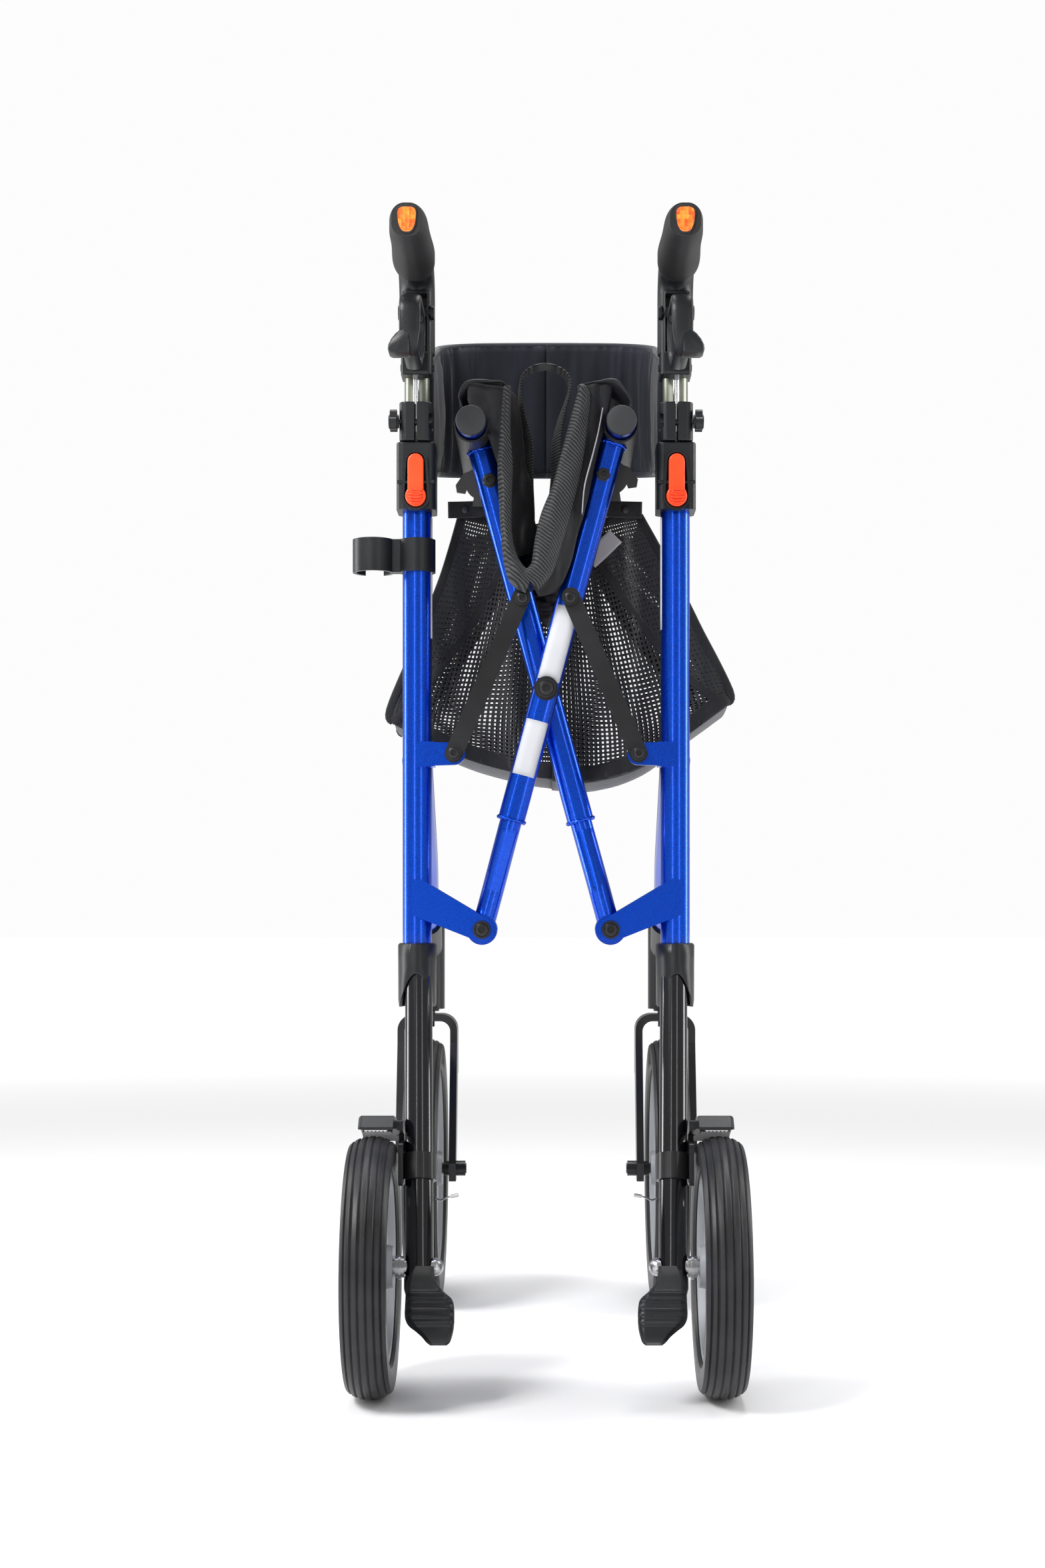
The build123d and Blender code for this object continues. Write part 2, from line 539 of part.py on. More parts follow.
def stop_collar():
    """Split clamp on the handle tube; its underside sets how low the handle goes."""
    z0, z1 = COLLAR_Z
    y = TUBE_Y
    ring = block(TUBE_X - 13.5, TUBE_X + 13.5, y - 23.0, y + 13.5, z0, z1)
    ring = fillet(ring.edges().filter_by(Axis.Z), 6.0)
    ring = fillet(ring.edges().group_by(Axis.Z)[-1] + ring.edges().group_by(Axis.Z)[0], 1.2)
    ring -= cyl_z(z0 - 1, z1 + 1, TUBE_X, y, HANDLE_RADIUS + RUNNING)
    ring -= block(TUBE_X - 1.2, TUBE_X + 1.2, y - 30, y - 5, z0 - 1, z1 + 1)
    ring -= cyl_z(z0 - 1, z1 + 1, TUBE_X, ROD_Y, ROD_RADIUS + 2 * RUNNING)
    ring -= cyl_x(TUBE_X - 20, TUBE_X + 20, y - 19.0, (z0 + z1) / 2, 2.0 + RUNNING)
    ring -= cyl_x(TUBE_X - 20, TUBE_X - 10.5, y - 17.0, (z0 + z1) / 2, 7.5)
    return ring.solid()


def clamp_knob():
    """Three-lobed knob and its bolt, which close the stop collar."""
    z = (COLLAR_Z[0] + COLLAR_Z[1]) / 2
    y = TUBE_Y - 19.0
    bolt = cyl_x(TUBE_X - 12.5, TUBE_X + 22, y, z, 2.0)
    hub = cyl_x(TUBE_X + 13.8, TUBE_X + 22.0, y, z, 5.5)
    knob = bolt + hub
    for third in range(3):
        angle = radians(90 + 120 * third)
        knob += cyl_x(TUBE_X + 15.4, TUBE_X + 21.0, y + 4.6 * cos(angle), z + 4.6 * sin(angle), 5.2)
    return knob.solid()


# ---------------------------------------------------------------- brakes and wheels


def brake_shoe():
    """Brake arm over the rear tyre with its metal pad; it turns on the leg's pin."""
    y, z = SHOE_PIVOT
    axle = (REAR_Y, REAR_RADIUS)
    cover = side_profile([(REAR_Y - 4, 203), (REAR_Y - 4, 211), (REAR_Y + 6, 219),
                          (REAR_Y + 40, 214), (REAR_Y + 54, 203), (REAR_Y + 56, 185)], 119.5, 147.0)
    cover = fillet(cover.edges().filter_by(Axis.X, reverse=True).group_by(Axis.X)[-1], 3.0)
    arm = side_profile([(REAR_Y + 20, 206), (REAR_Y + 20, 213), (REAR_Y + 40, 212),
                        (REAR_Y + 54, 201), (y + 5, z), (y, z - 5), (y - 4, z - 1),
                        (REAR_Y + 44, 200)], 113.6, 120.0)
    hub = cyl_x(107.6, 118.2, y, z, 5.0)
    shoe = cover + arm + hub
    shoe -= cyl_x(118.0, 160, axle[0], axle[1], REAR_RADIUS + 6.0)
    shoe -= cyl_x(100, 130, y, z, 2.5 + RUNNING)
    pad = cyl_x(122.5, 143.5, axle[0], axle[1], REAR_RADIUS + 6.0)
    pad -= cyl_x(120, 160, axle[0], axle[1], REAR_RADIUS + 3.6)
    pad &= block(120, 146, REAR_Y + 4, REAR_Y + 34, 190, 220)
    return Compound([shoe.solid(), pad.solid()])


def tyre(radius, width, seat, x, y):
    """Ribbed tyre, turned about its axle."""
    half = width / 2
    outline = [(-half + 3.0, seat), (-half + 1.0, seat + 2.0), (-half, seat + 7.0)]
    ribs = 7
    shoulder = radius - 6.5
    outline.append((-half, shoulder - 5.0))
    crown = []
    steps = ribs * 4
    for step in range(steps + 1):
        share = -1 + 2 * step / steps
        angle = share * radians(62)
        across = half * sin(angle) / sin(radians(62))
        drop = 6.5 * (1 - cos(angle)) / (1 - cos(radians(62)))
        groove = 1.3 if step % 4 == 0 and 0 < step < steps else 0.0
        crown.append((across, radius - drop - groove))
    outline += crown
    outline += [(half, shoulder - 5.0), (half, seat + 7.0), (half - 1.0, seat + 2.0),
                (half - 3.0, seat)]
    return wheel_ring(outline, x, y, radius).solid()


def rim(radius, width, seat, bore, x, y, cap):
    """Dished plastic rim with its hub; cap closes the outer side of the hub."""
    half = width / 2
    hub = 16.0
    out = half - 4.0
    outline = [(-half + 0.6, bore), (-half + 0.6, hub), (-7.5, hub + 2), (-9.5, seat * 0.55),
               (-8.0, seat - 12), (-out, seat - 7), (-out, seat), (out, seat), (out, seat - 7),
               (8.0, seat - 12), (5.0, seat * 0.55), (6.0, hub + 2), (half - 0.6, hub),
               (half - 0.6, bore)]
    disc = wheel_ring(outline, x, y, radius)
    slots = 6
    for step in range(slots):
        angle = radians(360 / slots * step + 20)
        reach = seat - 22.0
        disc -= cyl_x(x - 30, x + 30, y + reach * cos(angle), radius + reach * sin(angle), 4.2)
    if cap:
        dome = Pos(x + half - 1.0, y, radius) * Sphere(13.0)
        dome &= block(x + half - 1.0, x + half + 1.6, y - 14, y + 14, radius - 14, radius + 14)
        disc += cyl_x(x + half - 2.6, x + half - 0.5, y, radius, 13.0) + dome
    return disc.solid()


def rear_rim():
    return rim(REAR_RADIUS, REAR_TYRE_WIDTH, 76.0, 6.0 + RUNNING, WHEEL_X, REAR_Y, True)


def front_rim():
    return rim(FRONT_RADIUS, FRONT_TYRE_WIDTH, 100.0, 5.0 + RUNNING, CASTER_X, FRONT_Y, False)


def caster_fork():
    """Bent fork with its swivel stem, the wheel bolt and its nuts."""
    crown_z, thick, half = 277.0, 7.0, 29.6
    strap = 26.0
    top = Pos(CASTER_X, crown_z - 40) * RectangleRounded(2 * half, 80, 16)
    top -= Pos(CASTER_X, crown_z - 40 - thick) * RectangleRounded(2 * (half - thick), 80, 10)
    top -= Pos(CASTER_X, crown_z - 90) * Rectangle(100, 60)
    crown = front_profile(top, SWIVEL_Y - 17, SWIVEL_Y + 15)
    hub_z = FRONT_RADIUS
    outline = [(SWIVEL_Y + 15, crown_z - 28), (SWIVEL_Y - 17, crown_z - 28),
               (FRONT_Y - strap / 2, hub_z + 6), (FRONT_Y - 9, hub_z - 12),
               (FRONT_Y + 9, hub_z - 12), (FRONT_Y + strap / 2, hub_z + 6)]
    fork = crown
    for side in (-1, 1):
        inner = CASTER_X + side * (half - thick)
        outer = CASTER_X + side * half
        fork += side_profile(outline, min(inner, outer), max(inner, outer))
    fork += cyl_z(crown_z - 1, 340.0, CASTER_X, SWIVEL_Y, 7.0)
    fork += cyl_z(crown_z - thick - 6, crown_z - thick + 1, CASTER_X, SWIVEL_Y, 6.5)
    bolt = cyl_x(CASTER_X - half - 10, CASTER_X + half + 6, FRONT_Y, hub_z, 5.0)
    nut = cyl_x(CASTER_X - half - 9, CASTER_X - half, FRONT_Y, hub_z, 7.4)
    head = cyl_x(CASTER_X + half, CASTER_X + half + 6, FRONT_Y, hub_z, 7.8)
    spacers = cyl_x(CASTER_X - half + thick, CASTER_X - 17.2, FRONT_Y, hub_z, 7.0)
    spacers += cyl_x(CASTER_X + 17.2, CASTER_X + half - thick, FRONT_Y, hub_z, 7.0)
    return (fork + bolt + nut + head + spacers).solid()


# ---------------------------------------------------------------- assembly

SIDE_PARTS = {
    "upright_tube": upright_tube,
    "front_tube": front_tube,
    "caster_housing": caster_housing,
    "leg_collar": leg_collar,
    "rear_leg": rear_leg,
    "rear_axle": rear_axle,
    "tip_pedal": tip_pedal,
    "brake_mount": brake_mount,
    "latch_housing": latch_housing,
    "latch_lever": latch_lever,
    "handle_tube": handle_tube,
    "handle_body": handle_body,
    "grip": grip,
    "brake_lever": brake_lever,
    "pull_rod": pull_rod,
    "stop_collar": stop_collar,
    "clamp_knob": clamp_knob,
    "brake_shoe": brake_shoe,
    "rear_rim": rear_rim,
    "front_rim": front_rim,
    "caster_fork": caster_fork,
    "backrest_half": backrest_half,
    "link_bar": link_bar,
    "seat_half": seat_half,
}


def build_parts():
    """Every node of the walking frame by name."""
    parts = {}
    sides = {name: make() for name, make in SIDE_PARTS.items()}
    sides["rear_tyre"] = tyre(REAR_RADIUS, REAR_TYRE_WIDTH, 76.0, WHEEL_X, REAR_Y)
    sides["front_tyre"] = tyre(FRONT_RADIUS, FRONT_TYRE_WIDTH, 100.0, CASTER_X, FRONT_Y)
    for name, shape in sides.items():
        parts["right_" + name] = shape
        parts["left_" + name] = mirror(shape, about=Plane.YZ)
    parts["left_cane_holder"] = mirror(cane_holder(), about=Plane.YZ)
    parts["rear_cross_frame"] = cross_frame(REAR_PLANE_Y)
    parts["front_cross_frame"] = mirror(cross_frame(FRONT_PLANE_Y), about=Plane.YZ)
    parts["right_hook_plate"] = hook_plate(REAR_PLANE_Y)
    parts["left_hook_plate"] = mirror(hook_plate(FRONT_PLANE_Y), about=Plane.YZ)
    parts["cross_pivot_bolt"] = cross_pivot_bolt()
    parts["shopping_bag"] = shopping_bag()
    parts["pull_strap"] = pull_strap()
    return parts


os.makedirs("parts", exist_ok=True)
for node, shape in build_parts().items():
    export_step(shape, f"parts/{node}.step")
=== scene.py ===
import json
import math

import bmesh
import bpy
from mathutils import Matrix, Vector, noise


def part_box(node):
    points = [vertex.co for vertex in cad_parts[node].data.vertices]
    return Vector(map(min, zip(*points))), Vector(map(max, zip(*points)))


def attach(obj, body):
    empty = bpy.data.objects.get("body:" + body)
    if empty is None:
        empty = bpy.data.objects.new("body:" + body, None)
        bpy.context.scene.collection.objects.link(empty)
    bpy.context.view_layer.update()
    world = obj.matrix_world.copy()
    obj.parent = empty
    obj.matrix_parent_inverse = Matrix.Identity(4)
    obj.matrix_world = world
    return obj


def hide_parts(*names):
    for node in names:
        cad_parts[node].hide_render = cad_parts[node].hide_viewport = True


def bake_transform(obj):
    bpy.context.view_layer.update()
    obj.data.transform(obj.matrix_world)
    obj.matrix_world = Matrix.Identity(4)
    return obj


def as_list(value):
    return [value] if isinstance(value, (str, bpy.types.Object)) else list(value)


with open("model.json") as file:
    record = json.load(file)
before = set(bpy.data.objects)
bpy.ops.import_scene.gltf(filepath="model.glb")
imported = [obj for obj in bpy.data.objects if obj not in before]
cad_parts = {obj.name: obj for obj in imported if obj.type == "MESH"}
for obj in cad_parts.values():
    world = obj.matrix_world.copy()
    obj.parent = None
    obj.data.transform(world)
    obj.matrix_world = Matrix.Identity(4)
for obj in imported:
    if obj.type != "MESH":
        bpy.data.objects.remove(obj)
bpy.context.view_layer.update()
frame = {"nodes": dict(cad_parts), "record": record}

MM = 0.001


# ------------------------------------------------------------ places read from the frame


def middle(node):
    """Centre of a CAD node's box."""
    low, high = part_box(node)
    return (low + high) / 2


REAR_Y = middle("right_rear_tyre").y
TUBE = middle("right_handle_tube")
PIVOT = middle("cross_pivot_bolt")
RAIL_LOW, RAIL_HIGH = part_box("rear_cross_frame")
RAIL_R = 12 * MM
RAIL = Vector((RAIL_HIGH.x - RAIL_R, 0, RAIL_HIGH.z - RAIL_R))
RAIL_BACK, RAIL_FRONT = RAIL_LOW.y, RAIL_HIGH.y
GRIP_LOW, GRIP_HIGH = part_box("right_grip")
BOLT_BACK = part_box("cross_pivot_bolt")[0].y
BOLT_BACK_MM = (BOLT_BACK - REAR_Y) / MM     # ahead of the rear axle
LEAN = math.radians(15)      # cross tubes from vertical, as folded
SIDES = (("left", -1), ("right", 1))
# side that a rail is on, and the body of the cross tube that carries it
CROSSES = (("left", -1, "front_cross"), ("right", 1, "rear_cross"))
FORWARD, UP = Vector((0, 1, 0)), Vector((0, 0, 1))


def point(x, y, z):
    """A place in millimetres: x from the middle, y from the rear axle, z from the floor."""
    return Vector((x * MM, REAR_Y + y * MM, z * MM))


# ------------------------------------------------------------ materials


def node_tree(name):
    """A new material with its tree, its shader and its object coordinates."""
    made = bpy.data.materials.new(name)
    made.use_nodes = True
    tree = made.node_tree
    shader = tree.nodes["Principled BSDF"]
    place = tree.nodes.new("ShaderNodeTexCoord")
    return made, tree, shader, place.outputs["Object"]


def set_inputs(tree, node, values):
    """Sets a node's inputs by name or number: an output is linked, anything else is the value."""
    for name, value in values.items():
        if isinstance(value, bpy.types.NodeSocket):
            tree.links.new(value, node.inputs[name])
        else:
            node.inputs[name].default_value = value
    return node


def add_node(tree, kind, values):
    """A new shader node with its inputs set."""
    return set_inputs(tree, tree.nodes.new("ShaderNode" + kind), values)


def noise_node(tree, place, scale, detail=3.0, stretch=None):
    """Noise texture in object space, optionally stretched along an axis."""
    if stretch:
        place = add_node(tree, "Mapping", {"Scale": stretch, "Vector": place}).outputs["Vector"]
    values = {"Scale": scale, "Detail": detail, "Vector": place}
    return add_node(tree, "TexNoise", values).outputs["Fac"]


def ramp(tree, value, low, high, start=0.3, end=0.7):
    """Colour between low and high, driven by a value."""
    made = add_node(tree, "ValToRGB", {"Fac": value})
    for element, position, colour in zip(made.color_ramp.elements, (start, end), (low, high)):
        element.position = position
        element.color = (*colour, 1)
    return made.outputs["Color"]


def bump(tree, shader, height, strength, distance):
    """Adds a bump to the shader."""
    made = add_node(tree, "Bump", {"Strength": strength, "Distance": distance, "Height": height})
    set_inputs(tree, shader, {"Normal": made.outputs["Normal"]})


def spread(tree, value, low, high):
    """Maps a 0 to 1 value onto low to high."""
    values = {"To Min": low, "To Max": high, "Value": value}
    return add_node(tree, "MapRange", values).outputs["Result"]


def uneven(tree, value, rough, share=0.15):
    """Roughness that varies by a share of itself either way."""
    return spread(tree, value, rough * (1 - share), rough * (1 + share))


def finish_material(name, low, high, rough, metal=0.0, coat=0.0, grain=(900, 0.1), patch=14.0,
                    sheen=0.0, shine=0.35):
    """General painted, plastic or metal finish: patchy colour and roughness with a fine grain."""
    made, tree, shader, place = node_tree(name)
    patches = noise_node(tree, place, patch)
    set_inputs(tree, shader, {
        "Base Color": ramp(tree, patches, low, high),
        "Roughness": uneven(tree, patches, rough),
        "Metallic": metal,
        "Specular IOR Level": shine,
        "Coat Weight": coat,
        "Coat Roughness": 0.04,
        "Sheen Weight": sheen,
    })
    bump(tree, shader, noise_node(tree, place, grain[0], 2.0), grain[1], 0.0004)
    return made


def flake_paint(name):
    """Metallic blue paint: bright flakes under a clear coat."""
    made, tree, shader, place = node_tree(name)
    flakes = noise_node(tree, place, 2600, 1.0)
    set_inputs(tree, shader, {
        "Base Color": ramp(tree, flakes, (0.0, 0.035, 0.38), (0.0, 0.11, 0.85), 0.42, 0.68),
        "Roughness": spread(tree, flakes, 0.24, 0.34),
        "Metallic": 0.93,
        "Coat Weight": 0.4,
        "Coat Roughness": 0.03,
    })
    bump(tree, shader, flakes, 0.06, 0.0002)
    return made


WAVE_PERIOD = 0.314          # metres between the bands of a wave texture of scale 1


def weave(tree, place, pitch):
    """Over-and-under weave height from two crossed waves."""
    heights = {}
    for n, angle in enumerate((0.0, math.pi / 2)):
        turned = add_node(tree, "Mapping", {"Rotation": (0, angle, 0), "Vector": place})
        wave = add_node(tree, "TexWave", {"Scale": WAVE_PERIOD / pitch, "Distortion": 0.6,
                                          "Detail": 1.0, "Vector": turned.outputs["Vector"]})
        heights[n] = wave.outputs["Fac"]
    both = add_node(tree, "Math", heights)
    both.operation = "MAXIMUM"
    return both.outputs["Value"]


def cloth_material(name, low, high, pitch, rough=0.75, sheen=0.3, strength=0.5, crease=60.0):
    """Woven cloth: weave bump over soft creases; its colour follows the same height, darker in the
    hollows between threads and in the creases' troughs as painted shade.
    """
    made, tree, shader, place = node_tree(name)
    threads = weave(tree, place, pitch)
    folds = noise_node(tree, place, crease, 4.0, (1.0, 1.0, 0.35))
    mixed = add_node(tree, "Math", {0: threads, 1: 0.35, 2: folds})
    mixed.operation = "MULTIPLY_ADD"
    height = mixed.outputs["Value"]
    set_inputs(tree, shader, {
        # Colour follows the bump height: painted shade in the weave's hollows and the crease troughs.
        "Base Color": ramp(tree, height, low, high, 0.35, 0.95),
        "Roughness": uneven(tree, folds, rough, 0.1),
        "Specular IOR Level": 0.3,
        "Sheen Weight": sheen,
        "Sheen Roughness": 0.4,
    })
    bump(tree, shader, height, strength, 0.0008)
    return made


def rib_material(name, low, high, pitch, axis, rough=0.6):
    """Ribbed webbing: rounded ribs across the strap, whose colour follows the ribs: lighter crests as
    painted highlight, darker grooves as painted shade.
    """
    made, tree, shader, place = node_tree(name)
    wave = add_node(tree, "TexWave", {"Scale": WAVE_PERIOD / pitch, "Distortion": 0.8, "Detail": 2.0,
                                      "Vector": place})
    wave.bands_direction = axis
    ribs = wave.outputs["Fac"]
    set_inputs(tree, shader, {
        # Colour follows the ribs: painted highlight on their crests, painted shade in their grooves.
        "Base Color": ramp(tree, ribs, low, high, 0.2, 0.9),
        "Roughness": uneven(tree, noise_node(tree, place, 700), rough),
        "Specular IOR Level": 0.3,
        "Sheen Weight": 0.08,
    })
    bump(tree, shader, ribs, 0.7, 0.0008)
    return made


def prism_material(name):
    """Orange reflector with small angled cells, and a faint emission that makes it glow as painted
    light.
    """
    made, tree, shader, place = node_tree(name)
    cells = add_node(tree, "TexVoronoi", {"Scale": 330, "Randomness": 0.25, "Vector": place})
    distance = cells.outputs["Distance"]
    set_inputs(tree, shader, {
        "Base Color": ramp(tree, cells.outputs["Color"], (0.80, 0.045, 0.0), (1.0, 0.27, 0.015),
                           0.2, 0.8),
        "Roughness": spread(tree, distance, 0.12, 0.3),
        # Emission: painted glow, standing in for the light the reflector returns.
        "Emission Color": (1.0, 0.2, 0.01, 1),
        "Emission Strength": 0.25,
        "Coat Weight": 1.0,
    })
    bump(tree, shader, distance, 0.8, 0.001)
    return made


MATERIALS = {
    "blue_paint": flake_paint("blue_flake_paint"),
    "black_paint": finish_material("gloss_black_paint", (0.002, 0.002, 0.003), (0.005, 0.005, 0.007),
                                   0.14, grain=(90, 0.006), shine=0.6),
    "black_steel": finish_material("black_coated_steel", (0.008, 0.008, 0.009), (0.02, 0.02, 0.022),
                                   0.38, metal=0.3, coat=0.2, grain=(900, 0.15)),
    "black_plastic": finish_material("black_plastic", (0.005, 0.0055, 0.0065), (0.012, 0.013, 0.015),
                                     0.36, grain=(1500, 0.25)),
    "grip_rubber": finish_material("grip_rubber", (0.007, 0.007, 0.008), (0.016, 0.016, 0.017),
                                   0.55, grain=(2200, 0.6)),
    "tyre": finish_material("tyre_rubber", (0.008, 0.008, 0.009), (0.02, 0.02, 0.022), 0.42,
                            grain=(700, 0.25), patch=30),
    "rim_plastic": finish_material("grey_rim_plastic", (0.25, 0.26, 0.28), (0.33, 0.34, 0.36), 0.4,
                                   grain=(1200, 0.12)),
    "orange_plastic": finish_material("orange_plastic", (0.88, 0.055, 0.008), (1.0, 0.085, 0.015),
                                      0.35, coat=0.25, grain=(1200, 0.12)),
    "chrome": finish_material("polished_chrome", (0.72, 0.73, 0.75), (0.85, 0.86, 0.88), 0.12,
                              metal=1.0, grain=(400, 0.02)),
    "handle_alloy": finish_material("olive_anodised_alloy", (0.20, 0.21, 0.17), (0.27, 0.28, 0.23),
                                    0.33, metal=0.9, grain=(900, 0.08)),
    "bare_steel": finish_material("zinc_plated_steel", (0.42, 0.42, 0.43), (0.62, 0.62, 0.63), 0.3,
                                  metal=1.0, grain=(600, 0.08)),
    "gunmetal": finish_material("gunmetal_plate", (0.035, 0.034, 0.034), (0.085, 0.082, 0.08), 0.34,
                                metal=0.8, grain=(500, 0.12)),
    "seat_fabric": cloth_material("black_nylon", (0.002, 0.002, 0.003), (0.014, 0.014, 0.016), 0.0007,
                                  rough=0.42, sheen=0.05),
    "backrest_fabric": cloth_material("navy_black_cloth", (0.0025, 0.003, 0.0055),
                                      (0.011, 0.0125, 0.021), 0.0008, rough=0.85, sheen=0.15,
                                      strength=0.35, crease=45.0),
    "bag_net": finish_material("net_thread", (0.006, 0.006, 0.007), (0.02, 0.02, 0.022), 0.6,
                               grain=(2500, 0.5), sheen=0.3),
    # webbing: its high colour is painted highlight on the rib crests, its low colour painted shade in
    # the grooves
    "webbing": rib_material("ribbed_webbing", (0.004, 0.004, 0.005), (0.045, 0.045, 0.048), 0.0024,
                            "Z"),
}
# Hem: its high colour is painted highlight on the rib crests, its low colour painted shade in the
# grooves.
HEM = rib_material("ribbed_hem", (0.003, 0.0032, 0.0036), (0.05, 0.052, 0.055), 0.0017, "DIAGONAL", 0.5)
BINDING = cloth_material("binding_tape", (0.004, 0.004, 0.005), (0.02, 0.02, 0.022), 0.001, rough=0.7)
PIPING = cloth_material("backrest_piping", (0.004, 0.005, 0.008), (0.016, 0.018, 0.028), 0.001)
PRISM = prism_material("orange_reflector")
LABEL = finish_material("blank_label", (0.50, 0.51, 0.54), (0.60, 0.61, 0.64), 0.5, grain=(300, 0.05))
TAG = finish_material("grey_reflective_tag", (0.27, 0.25, 0.27), (0.38, 0.36, 0.39), 0.35,
                      grain=(800, 0.2))
CAP = finish_material("dark_grey_cap", (0.024, 0.025, 0.028), (0.036, 0.037, 0.04), 0.55,
                      grain=(1500, 0.3))


# ------------------------------------------------------------ mesh helpers


def piece(name, verts, faces, slot, body=None, material=None, smooth=True):
    """A mesh piece in its slot's material, or in another one, that rides on a body if given one."""
    mesh = bpy.data.meshes.new(name)
    mesh.from_pydata([tuple(v) for v in verts], [], faces)
    mesh.validate()
    if smooth:
        mesh.polygons.foreach_set("use_smooth", [True] * len(mesh.polygons))
    made = bpy.data.objects.new(name, mesh)
    bpy.context.scene.collection.objects.link(made)
    mesh.materials.append(material or MATERIALS[slot])
    if body:
        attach(made, body)
    return made


def thicken(made, thickness, offset=-1.0):
    """Gives a sheet its thickness in mm: on one side of it, or on both where offset is 0."""
    solid = made.modifiers.new("thickness", "SOLIDIFY")
    solid.thickness = thickness * MM
    solid.offset = offset
    bpy.context.view_layer.update()
    graph = bpy.context.evaluated_depsgraph_get()
    done = bpy.data.meshes.new_from_object(made.evaluated_get(graph))
    made.modifiers.clear()
    made.data = done


def grid_faces(rows, columns, close=False):
    """Quads of a grid of points stored row by row."""
    faces = []
    last = columns if close else columns - 1
    for r in range(rows - 1):
        for c in range(last):
            n = (c + 1) % columns
            faces.append((r * columns + c, r * columns + n, (r + 1) * columns + n,
                          (r + 1) * columns + c))
    return faces


def tube_faces(rings, around):
    """Faces of a tube of points stored ring by ring, closed at both ends."""
    faces = grid_faces(rings, around, close=True)
    faces.append(tuple(range(around))[::-1])
    faces.append(tuple(range((rings - 1) * around, rings * around)))
    return faces


def slab_faces(rows, columns):
    """Faces of two grids of points, one after the other, joined all round their edges."""
    size = rows * columns
    faces = grid_faces(rows, columns)
    faces += [tuple(i + size for i in f)[::-1] for f in grid_faces(rows, columns)]
    for c in range(columns - 1):
        for r in (0, rows - 1):
            a = r * columns + c
            faces.append((a, a + 1, a + 1 + size, a + size))
    for r in range(rows - 1):
        for c in (0, columns - 1):
            a, b = r * columns + c, (r + 1) * columns + c
            faces.append((a, b, b + size, a + size))
    return faces


def upright_plane(pairs):
    """Points in the plane y = 0, from (x, z) pairs."""
    return [Vector((x, 0, z)) for x, z in pairs]


def path_length(path):
    """Length of a line of points."""
    return sum((b - a).length for a, b in zip(path, path[1:]))


def direction(path, i):
    """Direction of an open line of points at one of them."""
    return (path[min(i + 1, len(path) - 1)] - path[max(i - 1, 0)]).normalized()


def curve_through(points, steps=8):
    """Points of a smooth curve through the given ones."""
    points = [Vector(p) for p in points]
    done = []
    for i in range(len(points) - 1):
        a = points[max(i - 1, 0)]
        b, c = points[i], points[i + 1]
        d = points[min(i + 2, len(points) - 1)]
        for k in range(steps):
            t = k / steps
            done.append(0.5 * ((2 * b) + (c - a) * t + (2 * a - 5 * b + 4 * c - d) * t * t
                               + (3 * b - a - 3 * c + d) * t ** 3))
    done.append(points[-1])
    return done


def swept(name, path, section, slot, body=None, up=FORWARD, close=False, material=None):
    """A closed form swept along a path; section(k) gives the outline at step k, in (side, up)."""
    verts = []
    count = len(path)
    outline_size = len(section(0.0))
    for i, here in enumerate(path):
        before = path[i - 1] if close else path[max(i - 1, 0)]
        after = path[(i + 1) % count] if close else path[min(i + 1, count - 1)]
        run = (after - before).normalized()
        side = run.cross(up).normalized()
        rise = side.cross(run).normalized()
        for s, u in section(i / max(count - 1, 1)):
            verts.append(here + side * s + rise * u)
    if close:
        faces = grid_faces(count, outline_size, close=True)
        last = (count - 1) * outline_size
        for c in range(outline_size):
            n = (c + 1) % outline_size
            faces.append((last + c, last + n, n, c))
    else:
        faces = tube_faces(count, outline_size)
    return piece(name, verts, faces, slot, body, material)


def ellipse(width, height, count=16, power=1.0):
    """Outline of a rounded bar from its size in mm, flatter where power is under 1."""
    points = []
    for k in range(count):
        angle = 2 * math.pi * k / count
        c, s = math.cos(angle), math.sin(angle)
        points.append((width * MM / 2 * math.copysign(abs(c) ** power, c),
                       height * MM / 2 * math.copysign(abs(s) ** power, s)))
    return points


def tidy_normals(made):
    """Turns every face outwards."""
    mesh = bmesh.new()
    mesh.from_mesh(made.data)
    bmesh.ops.recalc_face_normals(mesh, faces=mesh.faces)
    mesh.to_mesh(made.data)
    mesh.free()


def disc_stack(name, rings, centre, axis, slot, body, count=40, material=None):
    """Turned form: rings are (distance along the axis, radius) in mm."""
    axis = Vector(axis).normalized()
    side = axis.orthogonal().normalized()
    other = axis.cross(side)
    verts = []
    for along, radius in rings:
        for k in range(count):
            angle = 2 * math.pi * k / count
            out = side * math.cos(angle) + other * math.sin(angle)
            verts.append(centre + axis * (along * MM) + out * (radius * MM))
    soften(piece(name, verts, tube_faces(len(rings), count), slot, body, material, smooth=False))


def soften(made, angle=35):
    """Smooth shading with edges kept where faces meet sharply."""
    mesh = made.data
    mesh.polygons.foreach_set("use_smooth", [True] * len(mesh.polygons))
    mesh.set_sharp_from_angle(angle=math.radians(angle))


# ------------------------------------------------------------ camera, light and floor

CAMERA_BACK = 1700 * MM      # behind the rear axle
CAMERA_HEIGHT = 379 * MM
LENS_RISE = 0.0812           # shift of the lens, as shares of the picture's height
LENS_SIDE = -0.0157
FLOOR_HALF = 30.0            # metres from the middle of the floor to its edges
SURROUND_LIGHT = 0.42        # what the surroundings give to the object
SURROUND_SEEN = 0.98         # what the camera sees of them
# name, place, point it aims at, size, watts
LAMPS = (
    ("key", (-1.5, -1.5, 2.3), (0, 0, 0.3), (0.8, 0.8), 70),
    ("strip_left", (-1.6, 0.25, 0.9), (0, -0.1, 0.5), (0.35, 2.2), 26),
    ("strip_right", (1.6, 0.1, 0.9), (0, -0.1, 0.5), (0.35, 2.2), 24),
    ("top", (0.1, 0.4, 2.8), (0, 0, 0.3), (1.4, 1.4), 42),
    ("streak_left", (-0.75, -2.2, 0.6), (0, 0, 0.5), (0.10, 2.2), 7),
    ("streak_right", (1.1, -1.9, 0.6), (0, 0, 0.5), (0.16, 2.2), 6),
)


